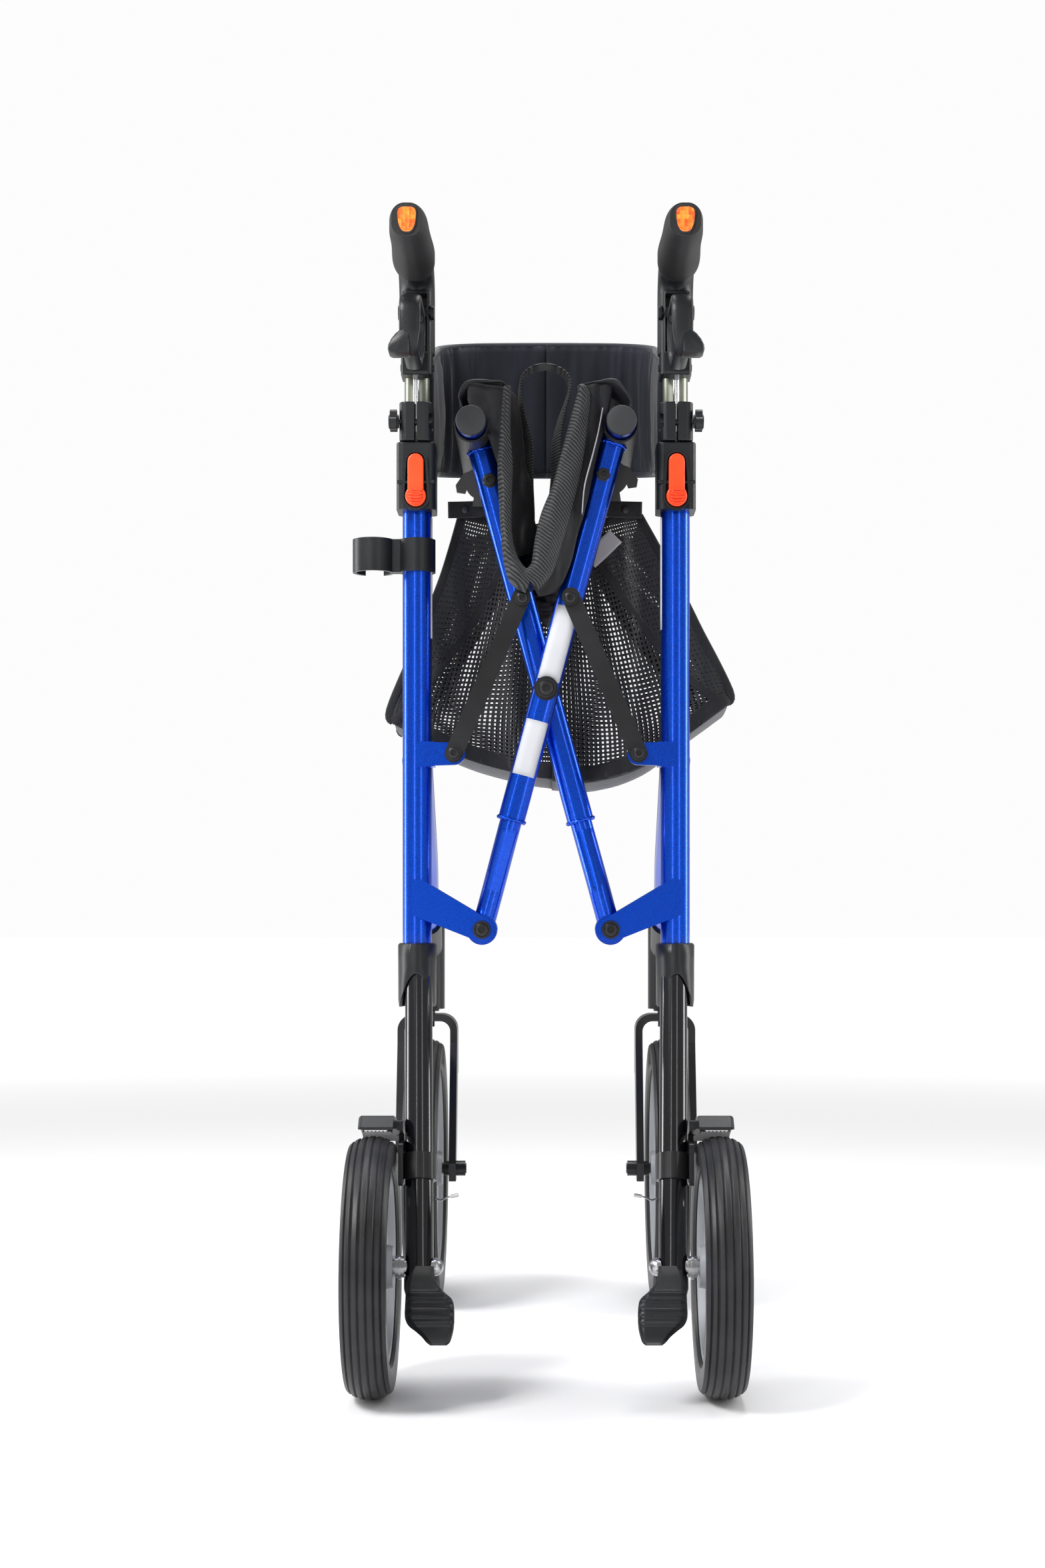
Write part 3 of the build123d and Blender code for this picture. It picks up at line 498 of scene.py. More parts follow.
def make_camera():
    """A level 50 mm lens low behind the frame, shifted up so that uprights stay upright."""
    data = bpy.data.cameras.new("camera")
    data.sensor_fit = "VERTICAL"
    data.sensor_height = 36
    data.lens = 50
    data.clip_end = 50
    camera = bpy.data.objects.new("camera", data)
    bpy.context.scene.collection.objects.link(camera)
    camera.location = (0.75 * MM, REAR_Y - CAMERA_BACK, CAMERA_HEIGHT)
    camera.rotation_euler = (math.radians(90), 0, 0)
    data.shift_x = LENS_SIDE
    data.shift_y = LENS_RISE
    bpy.context.scene.camera = camera


def area_light(name, place, aim, size, power):
    """Soft rectangular lamp aimed at a point."""
    data = bpy.data.lights.new(name, "AREA")
    data.shape = "RECTANGLE"
    data.size, data.size_y = size
    data.energy = power
    lamp = bpy.data.objects.new(name, data)
    bpy.context.scene.collection.objects.link(lamp)
    lamp.location = place
    lamp.rotation_euler = (Vector(aim) - Vector(place)).to_track_quat("-Z", "Y").to_euler()


def floor_material():
    """Pale floor that fades into the white surroundings away from the object."""
    made, tree, shader, place = node_tree("pale_floor")
    patches = noise_node(tree, place, 1.5)
    colour = ramp(tree, patches, (0.84, 0.84, 0.85), (0.88, 0.88, 0.89))
    set_inputs(tree, shader, {"Base Color": colour, "Roughness": 0.6})
    distance = add_node(tree, "VectorMath", {0: place})
    distance.operation = "LENGTH"
    fade = add_node(tree, "MapRange", {"From Min": 0.9, "From Max": 3.2, "To Max": 1.0,
                                       "Value": distance.outputs["Value"]})
    glow = add_node(tree, "Emission", {"Strength": 1.0})
    mix = add_node(tree, "MixShader", {"Fac": fade.outputs["Result"], 1: shader.outputs["BSDF"],
                                       2: glow.outputs["Emission"]})
    set_inputs(tree, tree.nodes["Material Output"], {"Surface": mix.outputs["Shader"]})
    return made


def make_studio():
    """Pale floor, white surroundings and soft lamps."""
    world = bpy.data.worlds.new("studio")
    world.use_nodes = True
    tree = world.node_tree
    white = (1, 1, 1, 1)
    surround = set_inputs(tree, tree.nodes["Background"], {"Color": white, "Strength": SURROUND_LIGHT})
    seen = add_node(tree, "Background", {"Color": white, "Strength": SURROUND_SEEN})
    path = add_node(tree, "LightPath", {})
    mix = add_node(tree, "MixShader", {"Fac": path.outputs["Is Camera Ray"],
                                       1: surround.outputs["Background"],
                                       2: seen.outputs["Background"]})
    set_inputs(tree, tree.nodes["World Output"], {"Surface": mix.outputs["Shader"]})
    bpy.context.scene.world = world
    bpy.context.scene.view_settings.view_transform = "Standard"
    corners = [(x * FLOOR_HALF, y * FLOOR_HALF, 0) for x, y in ((-1, -1), (1, -1), (1, 1), (-1, 1))]
    piece("floor", corners, [(0, 1, 2, 3)], "webbing", material=floor_material())
    for lamp in LAMPS:
        area_light(*lamp)


# ------------------------------------------------------------ carried CAD pieces


def dress_nodes():
    """Gives every CAD node its slot's material."""
    slots = {s["node"]: s["material_slot"] for s in frame["record"]["subparts"]}
    for name, made in frame["nodes"].items():
        made.data.materials.clear()
        made.data.materials.append(MATERIALS[slots[name]])


# ------------------------------------------------------------ seat sling

SLING_BACK, SLING_FRONT = 60, 252        # mm ahead of the rear axle
FOLD = (-13, 645)                        # lowest point of the folded sling
# centre line of the folded rear hem with its width: (x, z, width)
HEM_LEFT = [(-31.4, 802.5, 6), (-33, 765.8, 8.5), (-33.1, 739, 12.3), (-33, 711, 10.5),
            (-32.1, 684, 9), (-28.8, 664, 12), (-22.1, 649.6, 18), (*FOLD, 20)]
HEM_RIGHT = [(27.3, 803.3, 5), (30, 794.6, 11), (25.6, 769.8, 15), (20.3, 743, 18.5),
             (14.3, 719, 20), (6.6, 696, 23), (1.5, 676, 22), (-3.5, 656, 19), (*FOLD, 20)]


def rail_wrap(side):
    """Path of the sling round a rail: from its inner side under to its outer side and over."""
    radius = RAIL_R + 1.4 * MM
    points = []
    for k in range(10):
        angle = math.radians(110 + 310 * k / 9)
        points.append(Vector((side * (RAIL.x + radius * math.cos(angle)), 0,
                              RAIL.z + radius * math.sin(angle))))
    return points


def sling_path(side, snug):
    """Outline of one half of the folded sling: round the rail, over its top, down to the fold.
    The slack over the rail goes as snug goes from 0 to 1, to keep clear of the upright when open."""
    if side < 0:
        loop = [(-68.5, 789), (-70.5, 797), (-64, 807.5), (-46, 808)]
        close = [(-71, 783), (-66, 790), (-57, 797), (-44, 804)]
        leg = HEM_LEFT
    else:
        loop = [(68, 788), (68, 794), (57, 808.5), (42, 807.5)]
        close = [(70, 783), (65, 790), (54, 798), (42, 804)]
        leg = HEM_RIGHT
    slack = [point(a + (c - a) * snug, 0, b + (d - b) * snug)
             for (a, b), (c, d) in zip(loop, close)]
    return rail_wrap(side) + slack + [point(x, 0, z) for x, z, _ in leg]


def sling_half(side, label):
    """One half of the sling seat as a thin sheet that hangs from its rail."""
    rows, free = 48, 84
    verts, lengths = [], []
    for r in range(rows):
        share = r / (rows - 1)
        y = REAR_Y + (SLING_BACK + (SLING_FRONT - SLING_BACK) * share) * MM
        snug = min(1.0, share / 0.07)
        path = curve_through([Vector((p.x, 0, p.z)) for p in sling_path(side, snug)], 6)
        lengths.append(path_length(path))
        for c, p in enumerate(path):
            slack = min(1.0, max(0.0, (c - free) / 20))
            wave = noise.noise(Vector((p.z * 28, y * 30, side * 3.0))) * 2.6 * MM * slack
            pull = math.sin(math.pi * share) * 3.0 * MM * slack
            verts.append(Vector((p.x + wave * 0.8, y, p.z - pull)))
    made = piece(f"seat_sling_{label}", verts, grid_faces(rows, len(path)), "seat_fabric")
    thicken(made, 1.2, offset=0)
    return made, sum(lengths) / rows


HEM_Y = 54                   # mm ahead of the rear axle


def hem_band(side, label):
    """Wide ribbed hem along the sling's rear edge, turned to face backwards."""
    leg = HEM_LEFT if side < 0 else HEM_RIGHT
    path = curve_through([point(x, HEM_Y, z) for x, z, _ in leg], 8)
    widths = curve_through([Vector((w, 0, 0)) for _, _, w in leg], 8)
    count, around = len(path), 18
    verts = []
    for i, here in enumerate(path):
        across = direction(path, i).cross(FORWARD).normalized() * side
        wide = widths[i].x * MM
        curl = 5.5 * MM
        for k in range(around):
            angle = 2 * math.pi * k / around
            share = math.cos(angle)
            back = (share * 0.5) ** 2 * curl * 2 - math.sin(angle) * 1.3 * MM
            crease = noise.noise(Vector((i * 0.11, share * 1.5, side * 7.0))) * 2.2 * MM
            verts.append(here + across * share * wide / 2 + Vector((0, back + crease, 0)))
    made = piece(f"seat_hem_{label}", verts, tube_faces(count, around), "webbing", material=HEM)
    tidy_normals(made)
    return made


def strip_panel(name, edge_a, edge_b, depth_a, depth_b, fullness=4.0):
    """Cloth panel between two edges seen from behind, at a depth along each edge."""
    one = curve_through(upright_plane(edge_a), 8)
    other = curve_through(upright_plane(edge_b), 8)
    rows, columns = 40, 12
    verts = []
    for r in range(rows):
        t = r / (rows - 1)
        a = one[round(t * (len(one) - 1))]
        b = other[round(t * (len(other) - 1))]
        for c in range(columns):
            u = c / (columns - 1)
            p = a.lerp(b, u)
            depth = depth_a + (depth_b - depth_a) * u
            fold = noise.noise(Vector((p.x * 0.11, p.z * 0.035, len(name)))) * fullness
            fold += noise.noise(Vector((p.x * 0.3, p.z * 0.08, 2.0))) * fullness * 0.35
            verts.append(point(p.x, depth + fold * math.sin(math.pi * u), p.z))
    made = piece(name, verts, grid_faces(rows, columns), "seat_fabric")
    thicken(made, 1.3)
    return made


def seat_panels():
    """Slack nylon between hem, rails and fold, which faces backwards: (side, piece)."""
    left_leg = [(x, z) for x, z, _ in HEM_LEFT]
    right_leg = [(x, z) for x, z, _ in HEM_RIGHT]
    return (
        (-1, strip_panel("seat_panel_left_outer", left_leg[:3],
                         [(-62.9, 808), (-63, 790), (-49, 767), (-42, 748), (-38, 736)], 60, 62)),
        (-1, strip_panel("seat_panel_left_inner", left_leg[:6],
                         [(-25, 800), (-20.5, 775), (-18, 745), (-12, 727), (-10.6, 703), (-9, 691),
                          (-13, 672)], 62, 84)),
        (1, strip_panel("seat_panel_right", right_leg,
                        [(54, 808.5), (50, 780), (43.7, 759), (38.8, 740), (34.4, 719), (30, 699),
                         (25, 683), (20.8, 665), (15, 649), (7, 638), (-6, 634)], 59, 66)),
    )


def make_seat():
    """Sling seat: two halves, each wrapped round its rail and joined at the fold."""
    panels = seat_panels()
    for label, side, body in CROSSES:
        sheet, length = sling_half(side, label)
        hem = hem_band(side, label)
        own = [panel for panel_side, panel in panels if panel_side == side]
        for made in (sheet, hem, *own):
            point(FOLD[0], 0, FOLD[1])
            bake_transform(made)
        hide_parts(f"{label}_seat_half")
        if side < 0:
            own.append(make_under_flap())


# ------------------------------------------------------------ pull strap


STRAP_Y = 96                 # mm ahead of the rear axle
STRAP_WIDE, STRAP_THICK = 22, 1.6
STRAP_TWIST = math.radians(34)


def make_pull_strap():
    """Ribbed webbing loop between the two legs of the folded sling."""
    route = [(-13.5, 650), (-15, 668), (-15.5, 686), (-15, 706), (-15.4, 729), (-14.6, 746),
             (-14.3, 762), (-16.8, 776), (-20.3, 792), (-21.9, 808), (-20.2, 818), (-13.2, 825),
             (-2.2, 828), (8.7, 826), (17, 820), (19.5, 812), (17.5, 802), (13, 788), (9.3, 772),
             (7.8, 757), (8.8, 739), (6, 712), (-1, 686), (-6, 666), (-11.5, 650)]
    path = curve_through([point(x, STRAP_Y, z) for x, z in route], 6)
    verts = []
    count, around = len(path), 14
    for i, here in enumerate(path):
        run = direction(path, i)
        flat = run.cross(FORWARD).normalized()
        share = i / (count - 1)
        twist = STRAP_TWIST * (math.cos(share * 2 * math.pi) * 0.5 + 0.5)
        twist *= 1 if share < 0.5 else -1
        across = FORWARD * math.cos(twist) + flat * math.sin(twist)
        face = across.cross(run).normalized()
        for a, b in ellipse(STRAP_WIDE, STRAP_THICK, around, 0.35):
            verts.append(here + across * a + face * b)
    made = piece("pull_strap_webbing", verts, tube_faces(count, around), "webbing", "centre")
    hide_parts("pull_strap")
    path_length(path)


# ------------------------------------------------------------ backrest

BACK_ENDS = 106              # where the strap's ends are, ahead of the rear axle
BACK_LOW = (743, 0.205)      # lower edge at the ends, and its rise per mm forward
BACK_HIGH = (835, 0.31)


def back_edges(p, along):
    """Heights of the strap's lower and upper edges at a place along it."""
    run = p.y - BACK_ENDS
    arch = 3 * math.sin(along * math.pi / 2)
    return BACK_LOW[0] + BACK_LOW[1] * run - arch, BACK_HIGH[0] + BACK_HIGH[1] * run + arch


def backrest_half(side, label):
    """Half of the padded back strap, bent round in a U, with upright wrinkles and a piped edge."""
    x1, y0, y1, bend = 98, BACK_ENDS, 289, 44
    route = [(x1, y0), (x1, y0 + 40), (x1, y1 - bend - 50), (x1, y1 - bend)]
    for k in range(1, 6):
        angle = math.pi / 2 * k / 6
        route.append((x1 - bend + bend * math.cos(angle), y1 - bend + bend * math.sin(angle)))
    route += [(x1 - bend, y1), (x1 - bend - 20, y1), (20, y1), (0, y1)]
    path = curve_through([Vector((side * x, y, 0)) for x, y in route], 5)
    rows, count = 20, len(path)
    fronts, backs = [], []
    for r in range(rows):
        share = r / (rows - 1)
        edge = min(share, 1 - share) * 2
        pad = 2.4 + 4.2 * math.sin(min(1.0, edge * 1.7) * math.pi / 2)
        for c, p in enumerate(path):
            run = direction(path, c)
            out = Vector((run.y, -run.x, 0)) * side
            along = c / (count - 1)
            low, high = back_edges(p, along)
            z = low + (high - low) * share
            wrinkle = noise.noise(Vector((along * 15, share * 0.7, side * 4))) * 5.0 * edge ** 0.5
            wrinkle += noise.noise(Vector((along * 42, share * 1.3, side * 9))) * 2.0 * edge ** 0.5
            gather = max(0.0, 1 - abs(edge - 0.22) / 0.3)
            wrinkle += noise.noise(Vector((along * 70, share * 2.0, side * 5))) * 3.0 * gather
            inner = p - out * (1.5 + pad * 0.5 + wrinkle)
            outer = p + out * (pad * 0.5 - 1.5)
            fronts.append(point(inner.x, inner.y, z))
            backs.append(point(outer.x, outer.y, z))
    made = piece(f"backrest_pad_{label}", fronts + backs, slab_faces(rows, count), "backrest_fabric")
    tidy_normals(made)
    pipes = []
    for where, share in (("top", 1.0), ("bottom", 0.0)):
        edge_path = []
        for c, p in enumerate(path):
            along = c / (count - 1)
            edge_path.append(point(p.x, p.y, back_edges(p, along)[int(share)]))
        pipe = swept(f"backrest_piping_{where}_{label}", edge_path,
                     lambda k: ellipse(6.0, 7.0, 12), "backrest_fabric", up=UP, material=PIPING)
        pipes.append(pipe)
    return made, pipes


def make_backrest():
    """Padded back strap in two halves."""
    for label, side in SIDES:
        pad, pipes = backrest_half(side, label)
        for made in (pad, *pipes):
            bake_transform(made)
        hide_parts(f"{label}_backrest_half")


# ------------------------------------------------------------ net bag

NET_PITCH = 3.6 * MM


def net_from_surface(name, place, columns, rows, close=lambda u, v: False):
    """Net of threads on a surface place(u, v), with real holes, smaller ones where close is true."""
    verts, faces = [], []
    index = {}

    def corner(i, j):
        if (i, j) not in index:
            index[(i, j)] = len(verts)
            verts.append(place(i / columns, j / rows))
        return index[(i, j)]

    for i in range(columns):
        for j in range(rows):
            around = [corner(i, j), corner(i + 1, j), corner(i + 1, j + 1), corner(i, j + 1)]
            centre = sum((verts[k] for k in around), Vector()) / 4
            start = len(verts)
            hole = 0.34 if close(i / columns, j / rows) else 0.56
            verts.extend([centre.lerp(verts[k], hole) for k in around])
            for k in range(4):
                n = (k + 1) % 4
                faces.append((around[k], around[n], start + n, start + k))
    made = piece(name, verts, faces, "bag_net")
    thicken(made, 0.7, offset=0)
    return made


BAG_TOP = 711                # mm from the floor
BAG_BACK, BAG_FRONT = 128, 258           # mm ahead of the rear axle
# shares across and up a panel: where its slanting seam starts, and how far it runs out and down
SEAM_FROM, SEAM_RUN = (0.42, 0.92), (0.58, 0.85)


def past_seam(u, v):
    """Whether a place on a net is outside its slanting seam, where the cloth is doubled."""
    return u > SEAM_FROM[0] + SEAM_RUN[0] * (SEAM_FROM[1] - v) / SEAM_RUN[1]


def flat_size(surface):
    """Mean width and height of a surface laid flat."""
    steps = [k / 16 for k in range(17)]
    wide = sum(path_length([surface(u, v) for u in steps]) for v in steps) / len(steps)
    tall = sum(path_length([surface(u, v) for v in steps]) for u in steps) / len(steps)
    return wide, tall


def bag_edge(side):
    """Outline of the bag's half: from its top corner down its side and along its foot to the middle."""
    if side < 0:
        return [(-71, 711), (-86, 660), (-110, 600), (-131, 548), (-128, 538), (-100, 523),
                (-64, 507), (-20, 495), (5, 491)]
    return [(78, 711), (102, 668), (130, 612), (154, 564), (152, 554), (118, 529), (80, 502),
            (40, 490), (5, 491)]


def bag_surface(side, y_mm, crest):
    """Maps (across, up) onto a hanging panel of the bag at a depth; crest is the rise of its middle."""
    side_line = curve_through(upright_plane(bag_edge(side)[:5]), 8)
    foot_line = curve_through(upright_plane(bag_edge(side)[4:]), 8)

    def along(line, t):
        k = min(max(t, 0), 0.9999) * (len(line) - 1)
        return line[int(k)].lerp(line[int(k) + 1], k - int(k))

    def place(u, v):
        foot = along(foot_line[::-1], u)
        edge = along(side_line[::-1], v)
        mid_x = foot_line[-1].x
        top = Vector((mid_x + (side_line[0].x - mid_x) * u, 0, BAG_TOP + crest * (1 - u)))
        straight = foot.lerp(top, v)
        edge_at = foot_line[0].lerp(side_line[0], v)
        push = (edge - edge_at) * u ** 1.5
        p = straight + push
        fold = noise.noise(Vector((p.x * 0.035, v * 1.3, y_mm * 0.01))) * 9
        fold += noise.noise(Vector((p.x * 0.09, v * 2.1, 3.0))) * 4
        room = 4 * u * (1 - u) + 0.4
        return point(p.x, y_mm + fold * room, p.z)

    return place


def bag_gusset(side, rear, front):
    """Surface of the bag's end, drawn in towards its foot, between the ends of its nets."""
    def place(u, v):
        drawn = -side * math.sin(math.pi * u) * 10 * MM * (1 - v)
        return rear(1.0, v).lerp(front(1.0, v), u) + Vector((drawn, 0, 0))

    return place


def bag_foot(label, rear, front):
    """Cloth foot that sags between the lower edges of the bag's nets."""
    rows, columns = 14, 24
    verts = []
    for r in range(rows):
        v = r / (rows - 1)
        sag = math.sin(math.pi * v) * 5 * MM
        for c in range(columns):
            u = c / (columns - 1)
            verts.append(rear(u, 0.0).lerp(front(u, 0.0), v) - Vector((0, 0, sag)))
    made = piece(f"bag_foot_{label}", verts, grid_faces(rows, columns), "webbing", material=BINDING)
    thicken(made, 1.4)
    return made


def bag_bindings(name, label, surface):
    """Tape along one net's slanting seam, side, foot and top."""
    steps = [k / 24 for k in range(25)]
    lines = {
        "seam": [surface(SEAM_FROM[0] + SEAM_RUN[0] * t, SEAM_FROM[1] - SEAM_RUN[1] * t) for t in steps],
        "side": [surface(1.0, t) for t in steps],
        "foot": [surface(t, 0.0) for t in steps],
        "top": [surface(t, 1.0) for t in steps],
    }
    made = []
    for where, line in lines.items():
        wide = 13 if where == "foot" else 7
        shift = Vector((0, 0, wide * MM * 0.4)) if where == "foot" else Vector()
        made.append(swept(f"bag_binding_{name}_{where}_{label}", [p + shift for p in line],
                          lambda k: ellipse(wide, 2.4, 12, 0.6), "webbing", material=BINDING))
    return made


def make_bag():
    """Net bag hung under the seat: front and back nets, end gussets, bindings and a cloth foot."""
    wide, tall = int(110 * MM / NET_PITCH) + 8, int(200 * MM / NET_PITCH)
    for label, side, body in CROSSES:
        rear, front = bag_surface(side, BAG_BACK, -14), bag_surface(side, BAG_FRONT, 16)
        gusset = bag_gusset(side, rear, front)
        rear_net = net_from_surface(f"bag_net_back_{label}", rear, wide, tall, past_seam)
        front_net = net_from_surface(f"bag_net_front_{label}", front, wide, tall, past_seam)
        end_net = net_from_surface(f"bag_gusset_{label}", gusset, 32, tall)
        rear_extra = [bag_foot(label, rear, front), *bag_bindings("back", label, rear)]
        front_extra = bag_bindings("front", label, front)
        for made in (rear_net, front_net, end_net, *rear_extra, *front_extra):
            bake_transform(made)
        for net, surface, extra in ((rear_net, rear, rear_extra), (front_net, front, front_extra),
                                    (end_net, gusset, [])):
            flat_size(surface)
            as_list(extra)
        if side < 0:
            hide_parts("shopping_bag")


# ------------------------------------------------------------ small pieces


def leg_point(z):
    """Point of the right rear leg's centre line at a height, in mm: (x, y, z)."""
    share = (z - 101.5) / 244
    return 99 + 5.3 * share, 80.4 * share, z


SLEEVE_TOP, SLEEVE_FOOT = 353.0, 301.0   # mm from the floor
SLEEVE_FRONT = 107.9         # mm ahead of the rear axle
SLEEVE_HALF = 15.9
TUBE_SKIN = 12.1             # just outside the upright tube's radius


def make_collar_sleeves():
    """Moulded sleeve of each leg collar; its rear edge arches over the top of the leg."""
    count = 56
    for label, side in SIDES:
        centre_x = TUBE.x / MM - 0.4
        rings = []
        for level in (0.0, 0.012, 0.03, 0.3, 0.6, 0.9, 0.97, 1.0):
            inset = 1.3 * max(0.0, 1 - level / 0.03) + 0.7 * max(0.0, (level - 0.9) / 0.1)
            ring = []
            for k in range(count):
                angle = 2 * math.pi * k / count
                arch = max(0.0, -math.sin(angle)) ** 2.2
                low = SLEEVE_FOOT + 27.5 * arch
                taper = 0.6 * level
                z = SLEEVE_TOP + (low - SLEEVE_TOP) * level
                back = 61.0 + (z - 328) * 0.2
                reach = SLEEVE_HALF - inset - taper
                deep = (SLEEVE_FRONT - back) / 2 - inset
                ring.append(point(side * (centre_x + reach * math.cos(angle)),
                                  (SLEEVE_FRONT + back) / 2 + deep * math.sin(angle), z))
            rings.append(ring)
        for outer, shrink in ((rings[-1], 2.4), (rings[4], 2.6)):
            ring = []
            for p in outer:
                middle_point = point(side * centre_x, 84.0, p.z / MM)
                inward = (middle_point - p).normalized()
                ring.append(p + inward * shrink * MM)
            rings.append(ring)
        turns = [2 * math.pi * k / count for k in range(count)]
        lid = [point(side * (TUBE.x / MM + TUBE_SKIN * math.cos(angle)),
                     (TUBE.y - REAR_Y) / MM + TUBE_SKIN * math.sin(angle), SLEEVE_TOP)
               for angle in turns]
        rings.insert(0, lid)
        verts = [p for ring in rings for p in ring]
        made = piece(f"collar_sleeve_{label}", verts, grid_faces(len(rings), count, close=True),
                     "black_plastic", f"{label}_side")
        tidy_normals(made)
        soften(made, 50)


def make_pedals():
    """Tip pedals: a neck that widens inwards into a ribbed tread with a rounded toe."""
    # height, outer edge, inner edge and depth, in mm, down the pedal
    stations = [(104, 103.5, 87, -11), (99, 106, 86.5, -17), (93, 107.6, 84, -23), (88, 108, 79, -28),
                (83, 108, 72.5, -33), (78, 108, 70.5, -37.5), (72, 107.8, 70, -42.5),
                (67, 105, 70, -46.5), (63, 99.5, 70.5, -49), (59, 94.5, 71.5, -50.8),
                (55, 91, 73, -51.6), (52.5, 88, 75.5, -51.4)]
    high = curve_through([Vector((z, outer, 0)) for z, outer, inner, y in stations], 7)
    wide = curve_through([Vector((inner, y, 0)) for z, outer, inner, y in stations], 7)
    columns = 20
    for label, side in SIDES:
        upper, lower = [], []
        rows = len(high)
        for r in range(rows):
            z, outer = high[r].x, high[r].y
            inner, y = wide[r].x, wide[r].y
            share = r / (rows - 1)
            rib = max(0.0, math.sin((z - 64) / 5.2 * 2 * math.pi)) ** 0.7 if 64 < z < 90 else 0.0
            for c in range(columns):
                u = c / (columns - 1)
                edge = min(u, 1 - u) * 2
                round_off = 3.0 * (1 - min(1.0, edge * 4.5)) ** 2
                lift = 1.5 * rib * min(1.0, edge * 5)
                x = outer + (inner - outer) * u
                thick = 9.0 - 2.5 * share
                upper.append(point(side * x, y - lift * 0.75 + round_off,
                                   z + lift * 0.6 - round_off * 0.4))
                lower.append(point(side * x, y + thick - round_off,
                                   z - thick * 0.55 + round_off * 0.2))
        made = piece(f"pedal_tread_{label}", upper + lower, slab_faces(rows, columns),
                     "black_plastic", f"{label}_side")
        tidy_normals(made)
        soften(made, 40)
        x, y, z = leg_point(86.5)
        axis = Vector(leg_point(200)) - Vector(leg_point(100))
        rings = [(-7, 8), (-5.5, 11), (-1, 12.1), (6, 12.1),
                 (8, 11.6)]
        disc_stack(f"pedal_cup_{label}", rings, point(side * x, y, z),
                   (side * axis.x, axis.y, axis.z), "black_plastic", f"{label}_side")
        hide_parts(f"{label}_tip_pedal")


def rounded_loop(centre_y, centre_z, wide, tall, corner, steps=8):
    """Points of a rounded rectangle in the plane x = 0: (y, z) in mm."""
    points = []
    for quarter, (sy, sz) in enumerate(((1, 1), (-1, 1), (-1, -1), (1, -1))):
        for k in range(steps + 1):
            angle = math.pi / 2 * (quarter + k / steps)
            points.append((centre_y + sy * (wide / 2 - corner) + corner * math.cos(angle),
                           centre_z + sz * (tall / 2 - corner) + corner * math.sin(angle)))
    return points


def make_levers():
    """Brake levers: a rounded finger loop, its arm to the pivot and a thumb fin."""
    pivot_y, pivot_z = 76.0, 867.0
    for label, side in SIDES:
        x = side * TUBE.x / MM
        body = f"{label}_lever"
        loop = [point(x, y, z) for y, z in rounded_loop(24.3, 837.5, 66.5, 41.5, 14.0)]

        def section(k):
            z = loop[min(int(k * (len(loop) - 1) + 0.5), len(loop) - 1)].z / MM
            width = 11.5 + 5.5 * min(1.0, max(0.0, (z - 814) / 18))
            return ellipse(7.2, width, 20, 0.62)

        made = swept(f"lever_loop_{label}", loop, section, "black_plastic", body,
                     up=Vector((1, 0, 0.001)), close=True)
        tidy_normals(made)
        arm = curve_through([point(x, y, z) for y, z in
                             ((40, 854), (50, 856), (60, 860), (68, 863.5), (77, 867.5))], 5)
        made_arm = swept(f"lever_arm_{label}", arm,
                         lambda k: ellipse((11.5 + 3 * k), 14.5, 20, 0.62),
                         "black_plastic", body, up=Vector((1, 0, 0)))
        tidy_normals(made_arm)
        fin = [(0, 833), (3, 832.6), (7, 830.8), (11, 827.6), (14.4, 823.4), (16.6, 819),
               (17, 815.4), (16.4, 813.2), (14.6, 812.3), (10, 812.2), (5, 812.4), (0, 812.6)]
        rings = []
        for y, grow in ((-12.2, -2.2), (-11.4, -0.8), (-9.8, 0.0), (3, 0.0), (8.4, -0.8), (9.4, -2.4)):
            mid_x, mid_z = 7.0, 823.5
            ring = []
            for fx, fz in fin:
                reach = math.hypot(fx - mid_x, fz - mid_z)
                scale = (reach + grow) / reach
                ring.append(point(x + side * (mid_x + (fx - mid_x) * scale), y,
                                  mid_z + (fz - mid_z) * scale))
            rings.append(ring)
        verts = [p for ring in rings for p in ring]
        thumb = piece(f"lever_fin_{label}", verts, tube_faces(len(rings), len(fin)), "black_plastic",
                      body)
        tidy_normals(thumb)
        soften(thumb, 40)
        rings = [(-9.2, 4.5), (-8.6, 5.2), (8.6, 5.2), (9.2, 4.5)]
        disc_stack(f"lever_boss_{label}", rings, point(x, pivot_y, pivot_z), (side, 0, 0),
                   "black_plastic", body, 24)
        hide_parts(f"{label}_brake_lever")


def make_under_flap():
    """Slack nylon flap under the fold of the sling, between the cross tubes."""
    flap = strip_panel("seat_under_flap", [(-21, 657), (-15, 640), (-7, 625), (0, 614)],
                       [(14, 655), (12, 641), (8, 627), (3, 614)], 104, 108, 3.0)
    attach(flap, "centre")
    return flap


def make_caps():
    """Plastic caps in both ends of each seat rail."""
    for label, side, body in CROSSES:
        for end, y, way in (("back", RAIL_BACK, -1), ("front", RAIL_FRONT, 1)):
            rings = [(-6, 10.2), (0, 10.2), (0.1, 12.2), (2.0, 12.2),
                     (3.0, 11.6), (3.6, 9), (3.9, 5), (4.0, 1)]
            disc_stack(f"rail_cap_{end}_{label}", rings, Vector((side * RAIL.x, y, RAIL.z)),
                       (0, way, 0), "black_plastic", body, material=CAP)


